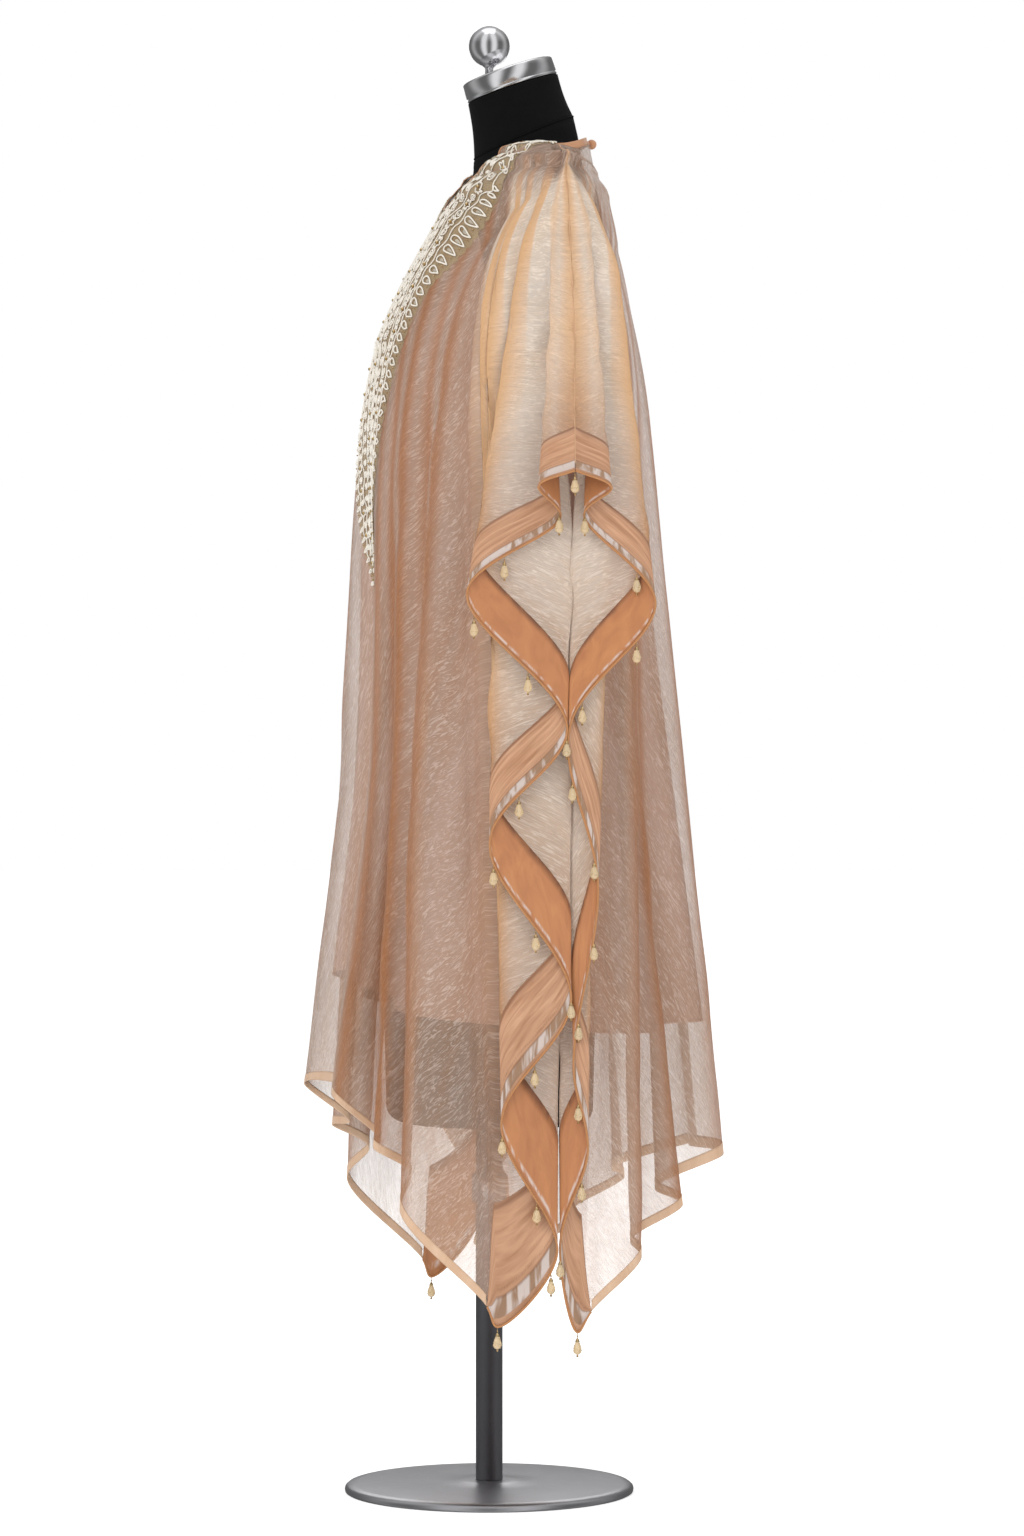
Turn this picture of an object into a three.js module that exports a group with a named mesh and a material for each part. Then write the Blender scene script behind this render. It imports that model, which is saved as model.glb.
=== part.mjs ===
// Sheer poncho kaftan over a satin slip, on a limbless dress form with a pole and base.
// Millimetres, +Z up, wearer's left is +X, wearer's front is -Y, origin on the floor at the pole.
import * as THREE from 'three';

// ---- driving dimensions ----
const CLOTH = 1.1;            // wall of the panels and the slip
const TRIM = 1;               // wall of bands, bindings and trims
const SEAM_GAP = 0.65;        // from a cut edge to the middle of its seam
const EDGE_GAP = 4.4;         // between a panel and its edge band, across the seam
const KAFTAN_LIFT = 11;       // least distance from the form to the kaftan's middle surface
const SLIP_LIFT = 4;          // the same for the slip
const HALF_WIDTH = 520;       // flat kaftan, centre to side edge
const BAND_WIDTH = 28;        // satin band along the side edges
const HEM_WIDTH = 8;          // narrow hem binding
const NECK_PIPING = 3;        // front neckline piping
const NECK_BAND = 15;         // back neck band
const NECK_CORNER = [80, 56, 1391];
const SHOULDER_POINT = [185, 49.5, 1369];
const FRONT_NECK = [0, -46, 1331, 0.75];
const BACK_NECK = [0, 100, 1407, 1];
const POLE_RADIUS = 14;
const BASE_RADIUS = 150;
const TORSO_BOTTOM = 385;
const CAP_TILT = 18.6;        // degrees, neck cap leans to the front
const CAP_RADIUS = 49;
const CAP_HEIGHT = 21;
const CAP_BASE = [0, 25, 1456.5];
const BALL_HEIGHT = 1501;
const BALL_RADIUS = 21.5;

// Rows of a panel from its upper edge (0) to its lower edge (1), closer where the form curves.
const PANEL_ROWS = [0, 0.025, 0.06, 0.1, 0.15, 0.21, 0.29, 0.4, 0.56, 0.77, 1];
const SLIP_ROWS = [0, 0.06, 0.14, 0.24, 0.36, 0.5, 0.66, 0.83, 1];

// ---- tables ----
// Dress form sections: height, centre y, half width, half depth, roundness, tilt in degrees.
const FORM_SECTIONS = [
  { z: 600, yc: 0, hx: 157, hy: 110, round: 2.2, tilt: 0 },
  { z: 800, yc: 0, hx: 162, hy: 112, round: 2.2, tilt: 0 },
  { z: 1010, yc: 5, hx: 120, hy: 88, round: 2.2, tilt: 0 },
  { z: 1186, yc: 2, hx: 148, hy: 106, round: 2.3, tilt: 0 },
  { z: 1290, yc: 34, hx: 164, hy: 84, round: 2.1, tilt: 0 },
  { z: 1335, yc: 40, hx: 174, hy: 70, round: 1.8, tilt: 0 },
  { z: 1358, yc: 42, hx: 166, hy: 61, round: 1.4, tilt: 0 },
  { z: 1374, yc: 41, hx: 98, hy: 57, round: 1.5, tilt: 2 },
  { z: 1390, yc: 39, hx: 60, hy: 56, round: 1.9, tilt: 12 },
  { z: 1406, yc: 36.5, hx: 56, hy: 56, round: 2, tilt: 23.6 },
];
// Rounded lower edge of the torso: inset from the section at its height, rise from the bottom.
const TORSO_EDGE = [{ inset: 14, rise: 0 }, { inset: 5, rise: 3 }, { inset: 0, rise: 14 }];

// Fold lines of the front panel's left half, centre to shoulder seam. top runs along the
// neckline (0 to 1) and the shoulder seam (1 to 2). cap, mid and end are points on the line;
// flat is where the line ends on the cloth laid flat; far moves the other side's mid point.
const FRONT_FOLDS = [
  { name: 'centre', top: 0, cap: [0, -113, 1184], mid: [0, -119, 840], end: [0, -160, 425], flat: [0, 1045], far: 0 },
  { name: 'ridge1', top: 0.32, cap: [72, -106, 1195], mid: [93, -137, 700], end: [115, -174, 415], flat: [127, 1060], far: -11 },
  { name: 'valley1', top: 0.5, cap: [100, -98, 1200], mid: [102, -114, 740], end: [118, -130, 377], flat: [195, 1080], far: -4 },
  { name: 'ridge2', top: 0.68, cap: [122, -88, 1205], mid: [131, -117, 760], end: [165, -141, 369], flat: [248, 1090], far: -6 },
  { name: 'valley2', top: 0.84, cap: [142, -68, 1210], mid: [152, -88, 760], end: [168, -106, 346], flat: [294, 1100], far: 4 },
  { name: 'ridge3', top: 1, cap: [168, -52, 1225], mid: [190, -99, 860], end: [208, -120, 307], flat: [357, 1110], far: -6 },
  { name: 'foot', top: 1.12, cap: [186, -38, 1235], mid: [206, -52, 800], end: [233, -38, 218], flat: [492, 1125], far: 2 },
  { name: 'corner', top: 1.2, cap: [190, -34, 1246], mid: [212, -40, 800], end: [238, -28, 198], flat: [520, 1127], far: 3 },
  { name: 'inner7', top: 1.3, cap: [193, -30, 1251], mid: [217, 25, 800], end: [243, 25, 269], flat: [520, 1050], far: -3 },
  { name: 'outer6', top: 1.4, cap: [194, -28, 1255], mid: [222, -30, 850], end: [252, -26, 402], flat: [520, 912], far: 5 },
  { name: 'inner5', top: 1.5, cap: [195, -16, 1258], mid: [226, 38, 900], end: [250, 41, 522], flat: [520, 780], far: -2 },
  { name: 'outer4', top: 1.6, cap: [197, -20, 1262], mid: [226, -33, 950], end: [254, -38, 678], flat: [520, 612], far: 6 },
  { name: 'inner3', top: 1.7, cap: [198, 0, 1270], mid: [226, 43, 1020], end: [250, 38, 790], flat: [520, 470], far: -3 },
  { name: 'outer2', top: 1.8, cap: [200, 7, 1285], mid: [222, -24, 1130], end: [256, -61, 924], flat: [520, 300], far: 5 },
  { name: 'inner1', top: 1.88, cap: [203, 26, 1292], mid: [222, 30, 1150], end: [246, 34, 999], flat: [520, 150], far: 2 },
  { name: 'outer0', top: 1.95, cap: [203, 36, 1310], mid: [228, 26, 1190], end: [266, 9, 1029], flat: [520, 70], far: -2 },
  { name: 'crest', top: 2, cap: [192, 49, 1345], mid: [226, 50, 1216], end: [272, 44, 1044], flat: [520, 0], far: 0 },
];
const BACK_FOLDS = [
  { name: 'centre', top: 0, cap: [0, 135, 1230], mid: [0, 163, 900], end: [0, 212, 356], flat: [0, 1070], far: 0 },
  { name: 'ridge1', top: 0.45, cap: [55, 141, 1220], mid: [66, 182, 860], end: [85, 230, 353], flat: [106, 1078], far: 6 },
  { name: 'valley1', top: 0.65, cap: [92, 130, 1215], mid: [98, 140, 800], end: [128, 151, 323], flat: [222, 1090], far: 4 },
  { name: 'ridge2', top: 0.85, cap: [125, 118, 1215], mid: [138, 133, 740], end: [160, 173, 309], flat: [272, 1100], far: -5 },
  { name: 'valley2', top: 1, cap: [150, 108, 1225], mid: [158, 108, 760], end: [172, 118, 276], flat: [351, 1110], far: -3 },
  { name: 'ridge3', top: 1.1, cap: [172, 104, 1230], mid: [194, 119, 760], end: [205, 122, 260], flat: [396, 1115], far: 5 },
  { name: 'foot', top: 1.2, cap: [186, 98, 1238], mid: [204, 88, 760], end: [231, 67, 211], flat: [492, 1125], far: -2 },
  { name: 'corner', top: 1.27, cap: [189, 96, 1243], mid: [208, 76, 760], end: [236, 52, 191], flat: [520, 1127], far: -3 },
  { name: 'inner7', top: 1.37, cap: [191, 93, 1248], mid: [214, 45, 800], end: [240, 36, 280], flat: [520, 1050], far: 4 },
  { name: 'outer6', top: 1.45, cap: [193, 92, 1253], mid: [220, 72, 830], end: [250, 60, 371], flat: [520, 912], far: -4 },
  { name: 'inner5', top: 1.55, cap: [195, 86, 1256], mid: [224, 48, 900], end: [248, 48, 456], flat: [520, 780], far: 1 },
  { name: 'outer4', top: 1.63, cap: [197, 92, 1260], mid: [226, 86, 960], end: [252, 70, 633], flat: [520, 612], far: 6 },
  { name: 'inner3', top: 1.72, cap: [199, 84, 1264], mid: [226, 54, 1030], end: [249, 44, 791], flat: [520, 470], far: 2 },
  { name: 'outer2', top: 1.8, cap: [202, 93, 1272], mid: [222, 110, 1130], end: [256, 127, 915], flat: [520, 300], far: -5 },
  { name: 'inner1', top: 1.88, cap: [203, 74, 1292], mid: [222, 66, 1150], end: [246, 57, 1002], flat: [520, 150], far: -1 },
  { name: 'outer0', top: 1.95, cap: [203, 66, 1305], mid: [230, 74, 1187], end: [266, 81, 1028], flat: [520, 70], far: 2 },
  { name: 'crest', top: 2, cap: [192, 49, 1345], mid: [226, 50, 1216], end: [272, 44, 1044], flat: [520, 0], far: 0 },
];
// Slip lines from its upper edge to its hem, centre to side seam.
const SLIP_FRONT = [
  { name: 'centre', start: [0, -84, 1234], cap: [0, -109, 1180], mid: [0, -114, 800], end: [0, -136, 545] },
  { name: 'ridge1', start: [45, -62, 1262], cap: [68, -104, 1180], mid: [86, -128, 740], end: [99, -150, 533] },
  { name: 'valley1', start: [85, -42, 1288], cap: [95, -94, 1180], mid: [97, -104, 760], end: [103, -117, 522] },
  { name: 'ridge2', start: [104, -26, 1300], cap: [121, -80, 1180], mid: [126, -106, 760], end: [143, -115, 508] },
  { name: 'armhole', start: [142, -20, 1240], cap: [146, -48, 1170], mid: [148, -72, 760], end: [158, -78, 500] },
  { name: 'side', start: [158, 16, 1150], cap: [162, 14, 1080], mid: [178, 6, 760], end: [182, 0, 493] },
];
const SLIP_BACK = [
  { name: 'centre', start: [0, 122, 1240], cap: [0, 124, 1150], mid: [0, 146, 860], end: [0, 196, 491] },
  { name: 'ridge1', start: [52, 122, 1262], cap: [56, 130, 1150], mid: [66, 172, 800], end: [76, 210, 491] },
  { name: 'valley1', start: [95, 108, 1284], cap: [92, 120, 1150], mid: [94, 127, 760], end: [112, 134, 488] },
  { name: 'ridge2', start: [113, 103, 1286], cap: [120, 104, 1160], mid: [128, 120, 740], end: [142, 148, 484] },
  { name: 'armhole', start: [142, 84, 1236], cap: [148, 82, 1150], mid: [150, 84, 760], end: [158, 92, 484] },
  { name: 'side', start: [158, 16, 1150], cap: [162, 14, 1080], mid: [178, 6, 760], end: [182, 0, 493] },
];
const STRAP_PATH = [
  [104, -24, 1303], [105, 0, 1334], [105, 26, 1358], [105, 52, 1370], [106, 80, 1362],
  [107, 96, 1330], [108, 102, 1292],
];
const STRAP = { width: 8, wall: 1, lift: 3 };
// Bead drops kept as solids: fold name and side of the panel they hang from.
const DROP = { radius: 4.6, length: 15, thread: 5 };

// ---- materials ----
const paint = (color, roughness, metalness = 0) => new THREE.MeshStandardMaterial({ color, roughness, metalness });
const SHEER = paint(0xd8c4a4, 0.7);
const SATIN = paint(0xc8925f, 0.4);
const SLIP_SATIN = paint(0xd9a888, 0.35);
const THREAD = paint(0xe9e2d6, 0.6);
const JERSEY = paint(0x141416, 0.85);
const CHROME = paint(0xc8c8cc, 0.12, 1);
const STEEL = paint(0x9b9ca0, 0.35, 1);
const GLASS = paint(0xd9b98c, 0.15);

const kaftan = new THREE.Group();

// ---- small vector helpers on plain arrays ----
const add = (a, b, s = 1) => [a[0] + b[0] * s, a[1] + b[1] * s, a[2] + b[2] * s];
const sub = (a, b) => add(a, b, -1);
const scale = (a, s) => [a[0] * s, a[1] * s, a[2] * s];
const cross = (a, b) => [a[1] * b[2] - a[2] * b[1], a[2] * b[0] - a[0] * b[2], a[0] * b[1] - a[1] * b[0]];
const size = (a) => Math.hypot(a[0], a[1], a[2]);
const unit = (a) => scale(a, 1 / Math.max(size(a), 1e-9));
const mix = (a, b, t) => a + (b - a) * t;

// Smooth curve through points, each span weighted by its length to the given power.
function through(points, at, power = 0.5) {
  const last = points.length - 1;
  const i = Math.min(Math.max(Math.floor(at), 0), last - 1);
  const t = at - i;
  const span = (k) => Math.max(size(sub(points[k + 1], points[k])), 1e-3) ** power;
  const slope = (k) => {
    if (k <= 0) return scale(sub(points[1], points[0]), 1 / span(0));
    if (k >= last) return scale(sub(points[last], points[last - 1]), 1 / span(last - 1));
    const before = span(k - 1);
    const after = span(k);
    const a = scale(sub(points[k], points[k - 1]), after / before);
    const b = scale(sub(points[k + 1], points[k]), before / after);
    return scale(add(a, b), 1 / (before + after));
  };
  const d = span(i);
  const h00 = 2 * t ** 3 - 3 * t ** 2 + 1;
  const h01 = -2 * t ** 3 + 3 * t ** 2;
  const h10 = (t ** 3 - 2 * t ** 2 + t) * d;
  const h11 = (t ** 3 - t ** 2) * d;
  let p = scale(points[i], h00);
  p = add(p, points[i + 1], h01);
  p = add(p, slope(i), h10);
  return add(p, slope(i + 1), h11);
}

// Dress form section at a height, every column interpolated smoothly.
function formSection(z) {
  const rows = FORM_SECTIONS;
  const top = rows.length - 1;
  let i = 0;
  while (i < top - 1 && z > rows[i + 1].z) i += 1;
  const t = Math.min(Math.max((z - rows[i].z) / (rows[i + 1].z - rows[i].z), 0), 1);
  const s = t * t * (3 - 2 * t) * 0.5 + t * 0.5;
  const section = {};
  for (const key of ['yc', 'hx', 'hy', 'round', 'tilt']) section[key] = mix(rows[i][key], rows[i + 1][key], s);
  if (z < rows[0].z) {
    const drop = (rows[0].z - z) / (rows[0].z - TORSO_BOTTOM);
    section.hx -= 15 * drop;
    section.hy -= 5 * drop;
  }
  return section;
}

// Size of a point relative to the form's section at its height: 1 is on the surface.
function formRatio(p) {
  const s = formSection(p[2]);
  return (Math.abs(p[0] / s.hx) ** s.round + Math.abs((p[1] - s.yc) / s.hy) ** s.round) ** (1 / s.round);
}

// Moves a point out along the form's own slope until it is at least clear of the form.
function liftOff(p, clear) {
  if (p[2] > 1400 || p[2] < TORSO_BOTTOM) return p;
  let moved = p;
  for (let pass = 0; pass < 3; pass += 1) {
    const here = formRatio(moved);
    const step = 0.5;
    const slope = [0, 1, 2].map((axis) => {
      const probe = [...moved];
      probe[axis] += step;
      return (formRatio(probe) - here) / step;
    });
    const steep = Math.max(size(slope), 1e-4);
    const short = clear - (here - 1) / steep;
    if (short > 0) moved = add(moved, scale(slope, 1 / steep), Math.min(short, 25));
  }
  return moved;
}

// A point on the neckline (0 to 1) or the shoulder seam (1 to 2) of a panel.
function topPoint(at, neck) {
  if (at >= 1) return add(NECK_CORNER, sub(SHOULDER_POINT, NECK_CORNER), Math.min(at, 2) - 1);
  const turn = at * Math.PI / 2;
  const across = NECK_CORNER[0] * Math.sin(turn);
  const depth = NECK_CORNER[1] + (neck[1] - NECK_CORNER[1]) * Math.cos(turn) ** neck[3];
  return [across, depth, NECK_CORNER[2] + (neck[2] - NECK_CORNER[2]) * Math.cos(turn) ** 1.9];
}

// Full set of fold lines, right crest to left crest, each as its points and flat ends.
function panelLines(folds, neck, neckDrop) {
  const half = folds.map((fold) => {
    const flatTop = fold.top < 1
      ? [NECK_CORNER[0] * Math.sin(fold.top * Math.PI / 2), neckDrop * Math.cos(fold.top * Math.PI / 2)]
      : [mix(NECK_CORNER[0], 190, fold.top - 1), 0];
    return { points: [topPoint(fold.top, neck), fold.cap, fold.mid, fold.end], flatTop, flat: fold.flat, far: fold.far };
  });
  const mirrored = half.slice(1).reverse().map((line) => {
    const points = line.points.map(([x, y, z]) => [-x, y, z]);
    points[2][1] += line.far;
    points[3][1] += line.far * 0.4;
    return { points, flatTop: [-line.flatTop[0], line.flatTop[1]], flat: [-line.flat[0], line.flat[1]], far: 0 };
  });
  return [...mirrored, ...half];
}

// Panel surface: u counts fold lines from the centre, v runs 0 at the top to 1 at the edge.
function panelSurface(lines, lift, side) {
  const middle = (lines.length - 1) / 2;
  const rowCache = new Map();
  const row = (v) => {
    const key = Math.round(v * 1e6);
    if (!rowCache.has(key)) rowCache.set(key, lines.map((line) => through(line.points, v * 3, 0.6)));
    return rowCache.get(key);
  };
  return (u, v) => {
    const p = liftOff(through(row(v), Math.min(Math.max(u, -middle), middle) + middle), lift);
    return [p[0], p[1] + side * SEAM_GAP, p[2]];
  };
}

const lineLength = (line) => line.points.slice(1).reduce((sum, p, i) => sum + size(sub(p, line.points[i])), 0);

// A closed wall between two offsets of a surface, over columns us and v between two limits.
function sheetMesh(name, material, { surface, us, levels, low, high, side, inner, outer, steady = false }) {
  const columns = us.length;
  const rows = levels.length - 1;
  const vertices = [];
  const normalAt = (u, v) => {
    const e = 0.004;
    const du = sub(surface(u + e, v), surface(u - e, v));
    const dv = sub(surface(u, Math.min(v + e, 1)), surface(u, Math.max(v - e, 0)));
    return scale(unit(cross(du, dv)), side);
  };
  // A narrow trim keeps one wall direction across its width.
  const facing = (u, v) => normalAt(u, steady ? mix(low(u), high(u), 0.5) : v);
  for (const offset of [inner, outer]) {
    for (let r = 0; r <= rows; r += 1) {
      for (const u of us) {
        const v = mix(low(u), high(u), levels[r]);
        vertices.push(...add(surface(u, v), facing(u, v), offset));
      }
    }
  }
  const id = (layer, r, c) => layer * (rows + 1) * columns + r * columns + c;
  const index = [];
  const quad = (a, b, c, d) => (side > 0 ? index.push(a, b, c, a, c, d) : index.push(a, c, b, a, d, c));
  for (let r = 0; r < rows; r += 1) {
    for (let c = 0; c < columns - 1; c += 1) {
      quad(id(1, r, c), id(1, r, c + 1), id(1, r + 1, c + 1), id(1, r + 1, c));
      quad(id(0, r, c), id(0, r + 1, c), id(0, r + 1, c + 1), id(0, r, c + 1));
    }
    quad(id(0, r, 0), id(1, r, 0), id(1, r + 1, 0), id(0, r + 1, 0));
    quad(id(1, r, columns - 1), id(0, r, columns - 1), id(0, r + 1, columns - 1), id(1, r + 1, columns - 1));
  }
  for (let c = 0; c < columns - 1; c += 1) {
    quad(id(0, 0, c), id(0, 0, c + 1), id(1, 0, c + 1), id(1, 0, c));
    quad(id(1, rows, c), id(1, rows, c + 1), id(0, rows, c + 1), id(0, rows, c));
  }
  const geometry = new THREE.BufferGeometry();
  geometry.setAttribute('position', new THREE.Float32BufferAttribute(vertices, 3));
  geometry.setIndex(index);
  const mesh = new THREE.Mesh(geometry, material);
  mesh.name = name;
  kaftan.add(mesh);
}

// Column places between two fold lines: finer where the folds turn round.
function columnsBetween(from, to, fine, fineSteps = 4) {
  const us = [];
  for (let line = from; line < to; line += 1) {
    const steps = fine(line + 0.5) ? fineSteps : 2;
    for (let k = 0; k < steps; k += 1) us.push(line + k / steps);
  }
  us.push(to);
  return us;
}

// ---- kaftan panels with their bands and bindings ----
function buildPanel(prefix, folds, neck, neckDrop, side, neckTrim) {
  const lines = panelLines(folds, neck, neckDrop);
  const surface = panelSurface(lines, KAFTAN_LIFT, side);
  const middle = (lines.length - 1) / 2;
  const foot = folds.findIndex((fold) => fold.name === 'foot');
  const corner = foot + 1;
  const isCascade = (u) => Math.abs(u) > corner && Math.abs(u) < middle - 3;
  const lineAt = (u) => lines[Math.round(Math.min(Math.max(u, -middle), middle) + middle)];
  const blendLines = (u, value) => {
    const inside = Math.min(Math.max(u, -middle), middle);
    const base = Math.floor(inside);
    return mix(value(lineAt(base)), value(lineAt(base + 1)), inside - base);
  };
  const length = (u) => blendLines(u, lineLength);
  const inNeck = (u) => blendLines(u, (line) => (line.flatTop[1] > 0 || Math.abs(line.flatTop[0]) <= NECK_CORNER[0] ? 1 : 0));
  const trimDepth = (u) => mix(SEAM_GAP, neckTrim + 3 * SEAM_GAP, Math.min(inNeck(u), 1));
  const reach = (line) => Math.abs(line.flat[0]) - Math.abs(line.flatTop[0]);
  const bandStart = (u) => {
    const least = 1 - 1.5 / length(u);
    if (Math.abs(u) <= foot) return least;
    const start = (line) => 1 - (Math.abs(line.flat[0]) - (HALF_WIDTH - BAND_WIDTH)) / reach(line);
    return Math.min(blendLines(u, start), least);
  };
  const hemStart = (u) => 1 - HEM_WIDTH / length(u);
  const seamEnd = middle - 0.02;
  const wall = { surface, side, inner: -CLOTH / 2, outer: CLOTH / 2 };
  const trim = { surface, side, inner: -TRIM / 2, outer: TRIM / 2, steady: true };
  const panelEnd = (u) => (Math.abs(u) <= foot
    ? hemStart(u) - 2 * SEAM_GAP / length(u)
    : bandStart(u) - EDGE_GAP / blendLines(u, reach));

  const panelStart = (u) => trimDepth(u) / length(u);
  const all = columnsBetween(-middle, middle, isCascade);
  all[0] = -seamEnd;
  all[all.length - 1] = seamEnd;
  sheetMesh(`${prefix}_panel`, SHEER, {
    ...wall, us: all, levels: PANEL_ROWS, low: panelStart, high: panelEnd,
  });
  for (const [name, sign] of [['left', 1], ['right', -1]]) {
    const us = columnsBetween(foot, middle, () => true).map((u) => (u === middle ? seamEnd : u) * sign);
    us[0] = (foot + 0.03) * sign;
    if (sign < 0) us.reverse();
    sheetMesh(`${prefix}_edge_band_${name}`, SATIN, { ...trim, us, levels: [0, 1], low: bandStart, high: () => 1 });
  }
  sheetMesh(`${prefix}_hem_binding`, SATIN, {
    ...trim, us: columnsBetween(-foot, foot, () => false), levels: [0, 1], low: hemStart, high: () => 1,
  });
  const neckLines = folds.filter((fold) => fold.top <= 1).length - 1;
  sheetMesh(`${prefix}_neck_trim`, SATIN, {
    ...trim,
    us: columnsBetween(-neckLines, neckLines, () => false),
    levels: [0, 1],
    low: () => 0,
    high: (u) => (neckTrim - SEAM_GAP) / length(u),
  });
  return { surface, middle, panelStart, panelEnd };
}

const front = buildPanel('front', FRONT_FOLDS, FRONT_NECK, 110, -1, NECK_PIPING);
const back = buildPanel('back', BACK_FOLDS, BACK_NECK, 15, 1, NECK_BAND);

// ---- embroidery: thin walls just outside the front panel, on the panel's own points ----
function buildEmbroidery(name, reach, firstRow, lastRow) {
  const levels = PANEL_ROWS.slice(firstRow, lastRow + 1);
  if (firstRow > 0) levels[0] += 0.003;
  sheetMesh(name, THREAD, {
    surface: front.surface,
    us: columnsBetween(-reach, reach, () => false),
    levels,
    side: -1,
    low: front.panelStart,
    high: front.panelEnd,
    inner: CLOTH / 2 + 0.35,
    outer: CLOTH / 2 + 1.35,
  });
}
buildEmbroidery('embroidery_neckline', 4, 0, 1);
buildEmbroidery('embroidery_yoke', 1, 1, 7);
buildEmbroidery('embroidery_placket', 0.5, 7, 8);

// ---- slip ----
function buildSlip(name, table, side) {
  const half = table.map((row) => [row.start, row.cap, row.mid, row.end]);
  const mirrored = half.slice(1).reverse().map((line) => line.map(([x, y, z]) => [-x, y, z]));
  const lines = [...mirrored, ...half];
  const middle = table.length - 1;
  const surface = (u, v) => {
    const row = lines.map((line) => through(line, v * 3, 0.6));
    return liftOff(through(row, Math.min(Math.max(u, -middle), middle) + middle), SLIP_LIFT);
  };
  const us = columnsBetween(-middle, middle, () => false);
  us[0] += 0.02;
  us[us.length - 1] -= 0.02;
  sheetMesh(name, SLIP_SATIN, {
    surface, us, levels: SLIP_ROWS, side, low: () => 0, high: () => 1, inner: -CLOTH / 2, outer: CLOTH / 2,
  });
}
buildSlip('slip_front', SLIP_FRONT, -1);
buildSlip('slip_back', SLIP_BACK, 1);

function buildStrap(name, mirror) {
  const middle = (STRAP_PATH.length - 1);
  const surface = (u, v) => {
    const p = liftOff(through(STRAP_PATH, Math.min(Math.max(v, 0), 1) * middle), STRAP.lift);
    return [(p[0] + u * STRAP.width / 2) * mirror, p[1], p[2]];
  };
  const strapRows = Array.from({ length: 15 }, (_, i) => i / 14);
  sheetMesh(name, SLIP_SATIN, {
    surface, us: [-1, 1], levels: strapRows, side: -mirror, low: () => 0, high: () => 1,
    inner: -STRAP.wall / 2, outer: STRAP.wall / 2,
  });
}
buildStrap('slip_strap_left', 1);
buildStrap('slip_strap_right', -1);

// ---- turned pieces ----
function lathe(name, material, outline, segments = 32) {
  const points = outline.map(([r, h]) => new THREE.Vector2(r, h));
  const geometry = new THREE.LatheGeometry(points, segments);
  geometry.rotateX(Math.PI / 2);
  const mesh = new THREE.Mesh(geometry, material);
  mesh.name = name;
  kaftan.add(mesh);
  return mesh;
}

const arc = (radius, centre, from, to, steps) => Array.from({ length: steps + 1 }, (_, i) => {
  const angle = THREE.MathUtils.degToRad(mix(from, to, i / steps));
  return [radius * Math.cos(angle), centre + radius * Math.sin(angle)];
});

// Bead drop: thread, small cap and faceted teardrop, hanging below a point of the edge.
function buildDrop(name, from) {
  const bottom = -DROP.thread - DROP.length;
  const outline = [
    [0, bottom], [DROP.radius * 0.7, bottom + 2], [DROP.radius, bottom + 4.6],
    [DROP.radius * 0.6, bottom + 9], [1.6, bottom + DROP.length], [0.9, bottom + DROP.length + 1], [0.9, 0], [0, 0],
  ];
  const drop = lathe(name, GLASS, outline, 8);
  drop.position.set(from[0], from[1], from[2] - CLOTH - SEAM_GAP);
}

const cornerLine = FRONT_FOLDS.findIndex((fold) => fold.name === 'corner');
const backCorner = BACK_FOLDS.findIndex((fold) => fold.name === 'corner');
for (const [name, sign] of [['left', 1], ['right', -1]]) {
  buildDrop(`drop_front_corner_${name}`, front.surface(sign * cornerLine, 1));
  buildDrop(`drop_back_corner_${name}`, back.surface(sign * backCorner, 1));
  const crest = front.surface(sign * front.middle, 1);
  buildDrop(`drop_crest_${name}`, [crest[0] + sign * 1.5, crest[1], crest[2] - 1]);
}

// Covered button at the back of the neck.
const button = lathe('neck_button', SATIN, [[0, 0], [5, 0], ...arc(5, 0.5, 0, 90, 4).slice(0, -1), [0, 5.5]], 16);
button.rotation.x = Math.PI / 2 + 0.5;
button.position.set(0, BACK_NECK[1] + 13, BACK_NECK[2] - 5);

// ---- dress form ----
function sectionRing(z, inset, count) {
  const s = formSection(z);
  const tilt = THREE.MathUtils.degToRad(s.tilt);
  return Array.from({ length: count }, (_, i) => {
    const angle = (i / count) * Math.PI * 2;
    const c = Math.cos(angle);
    const q = Math.sin(angle);
    const x = (s.hx - inset) * Math.sign(c) * Math.abs(c) ** (2 / s.round);
    const y = (s.hy - inset) * Math.sign(q) * Math.abs(q) ** (2 / s.round);
    return [x, s.yc + y * Math.cos(tilt), z + y * Math.sin(tilt)];
  });
}

// Closed solid through rings, with a flat end at each side.
function ringMesh(name, material, rings) {
  const count = rings[0].length;
  const middleOf = (ring) => scale(ring.reduce((sum, p) => add(sum, p), [0, 0, 0]), 1 / count);
  const vertices = [...rings.flat(), middleOf(rings[0]), middleOf(rings[rings.length - 1])];
  const index = [];
  for (let r = 0; r < rings.length - 1; r += 1) {
    for (let i = 0; i < count; i += 1) {
      const a = r * count + i;
      const b = r * count + (i + 1) % count;
      index.push(a, b, b + count, a, b + count, a + count);
    }
  }
  const low = rings.length * count;
  const lastRing = (rings.length - 1) * count;
  for (let i = 0; i < count; i += 1) {
    const j = (i + 1) % count;
    index.push(low, j, i, low + 1, lastRing + i, lastRing + j);
  }
  const geometry = new THREE.BufferGeometry();
  geometry.setAttribute('position', new THREE.Float32BufferAttribute(vertices.flat(), 3));
  geometry.setIndex(index);
  const mesh = new THREE.Mesh(geometry, material);
  mesh.name = name;
  kaftan.add(mesh);
}

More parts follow.
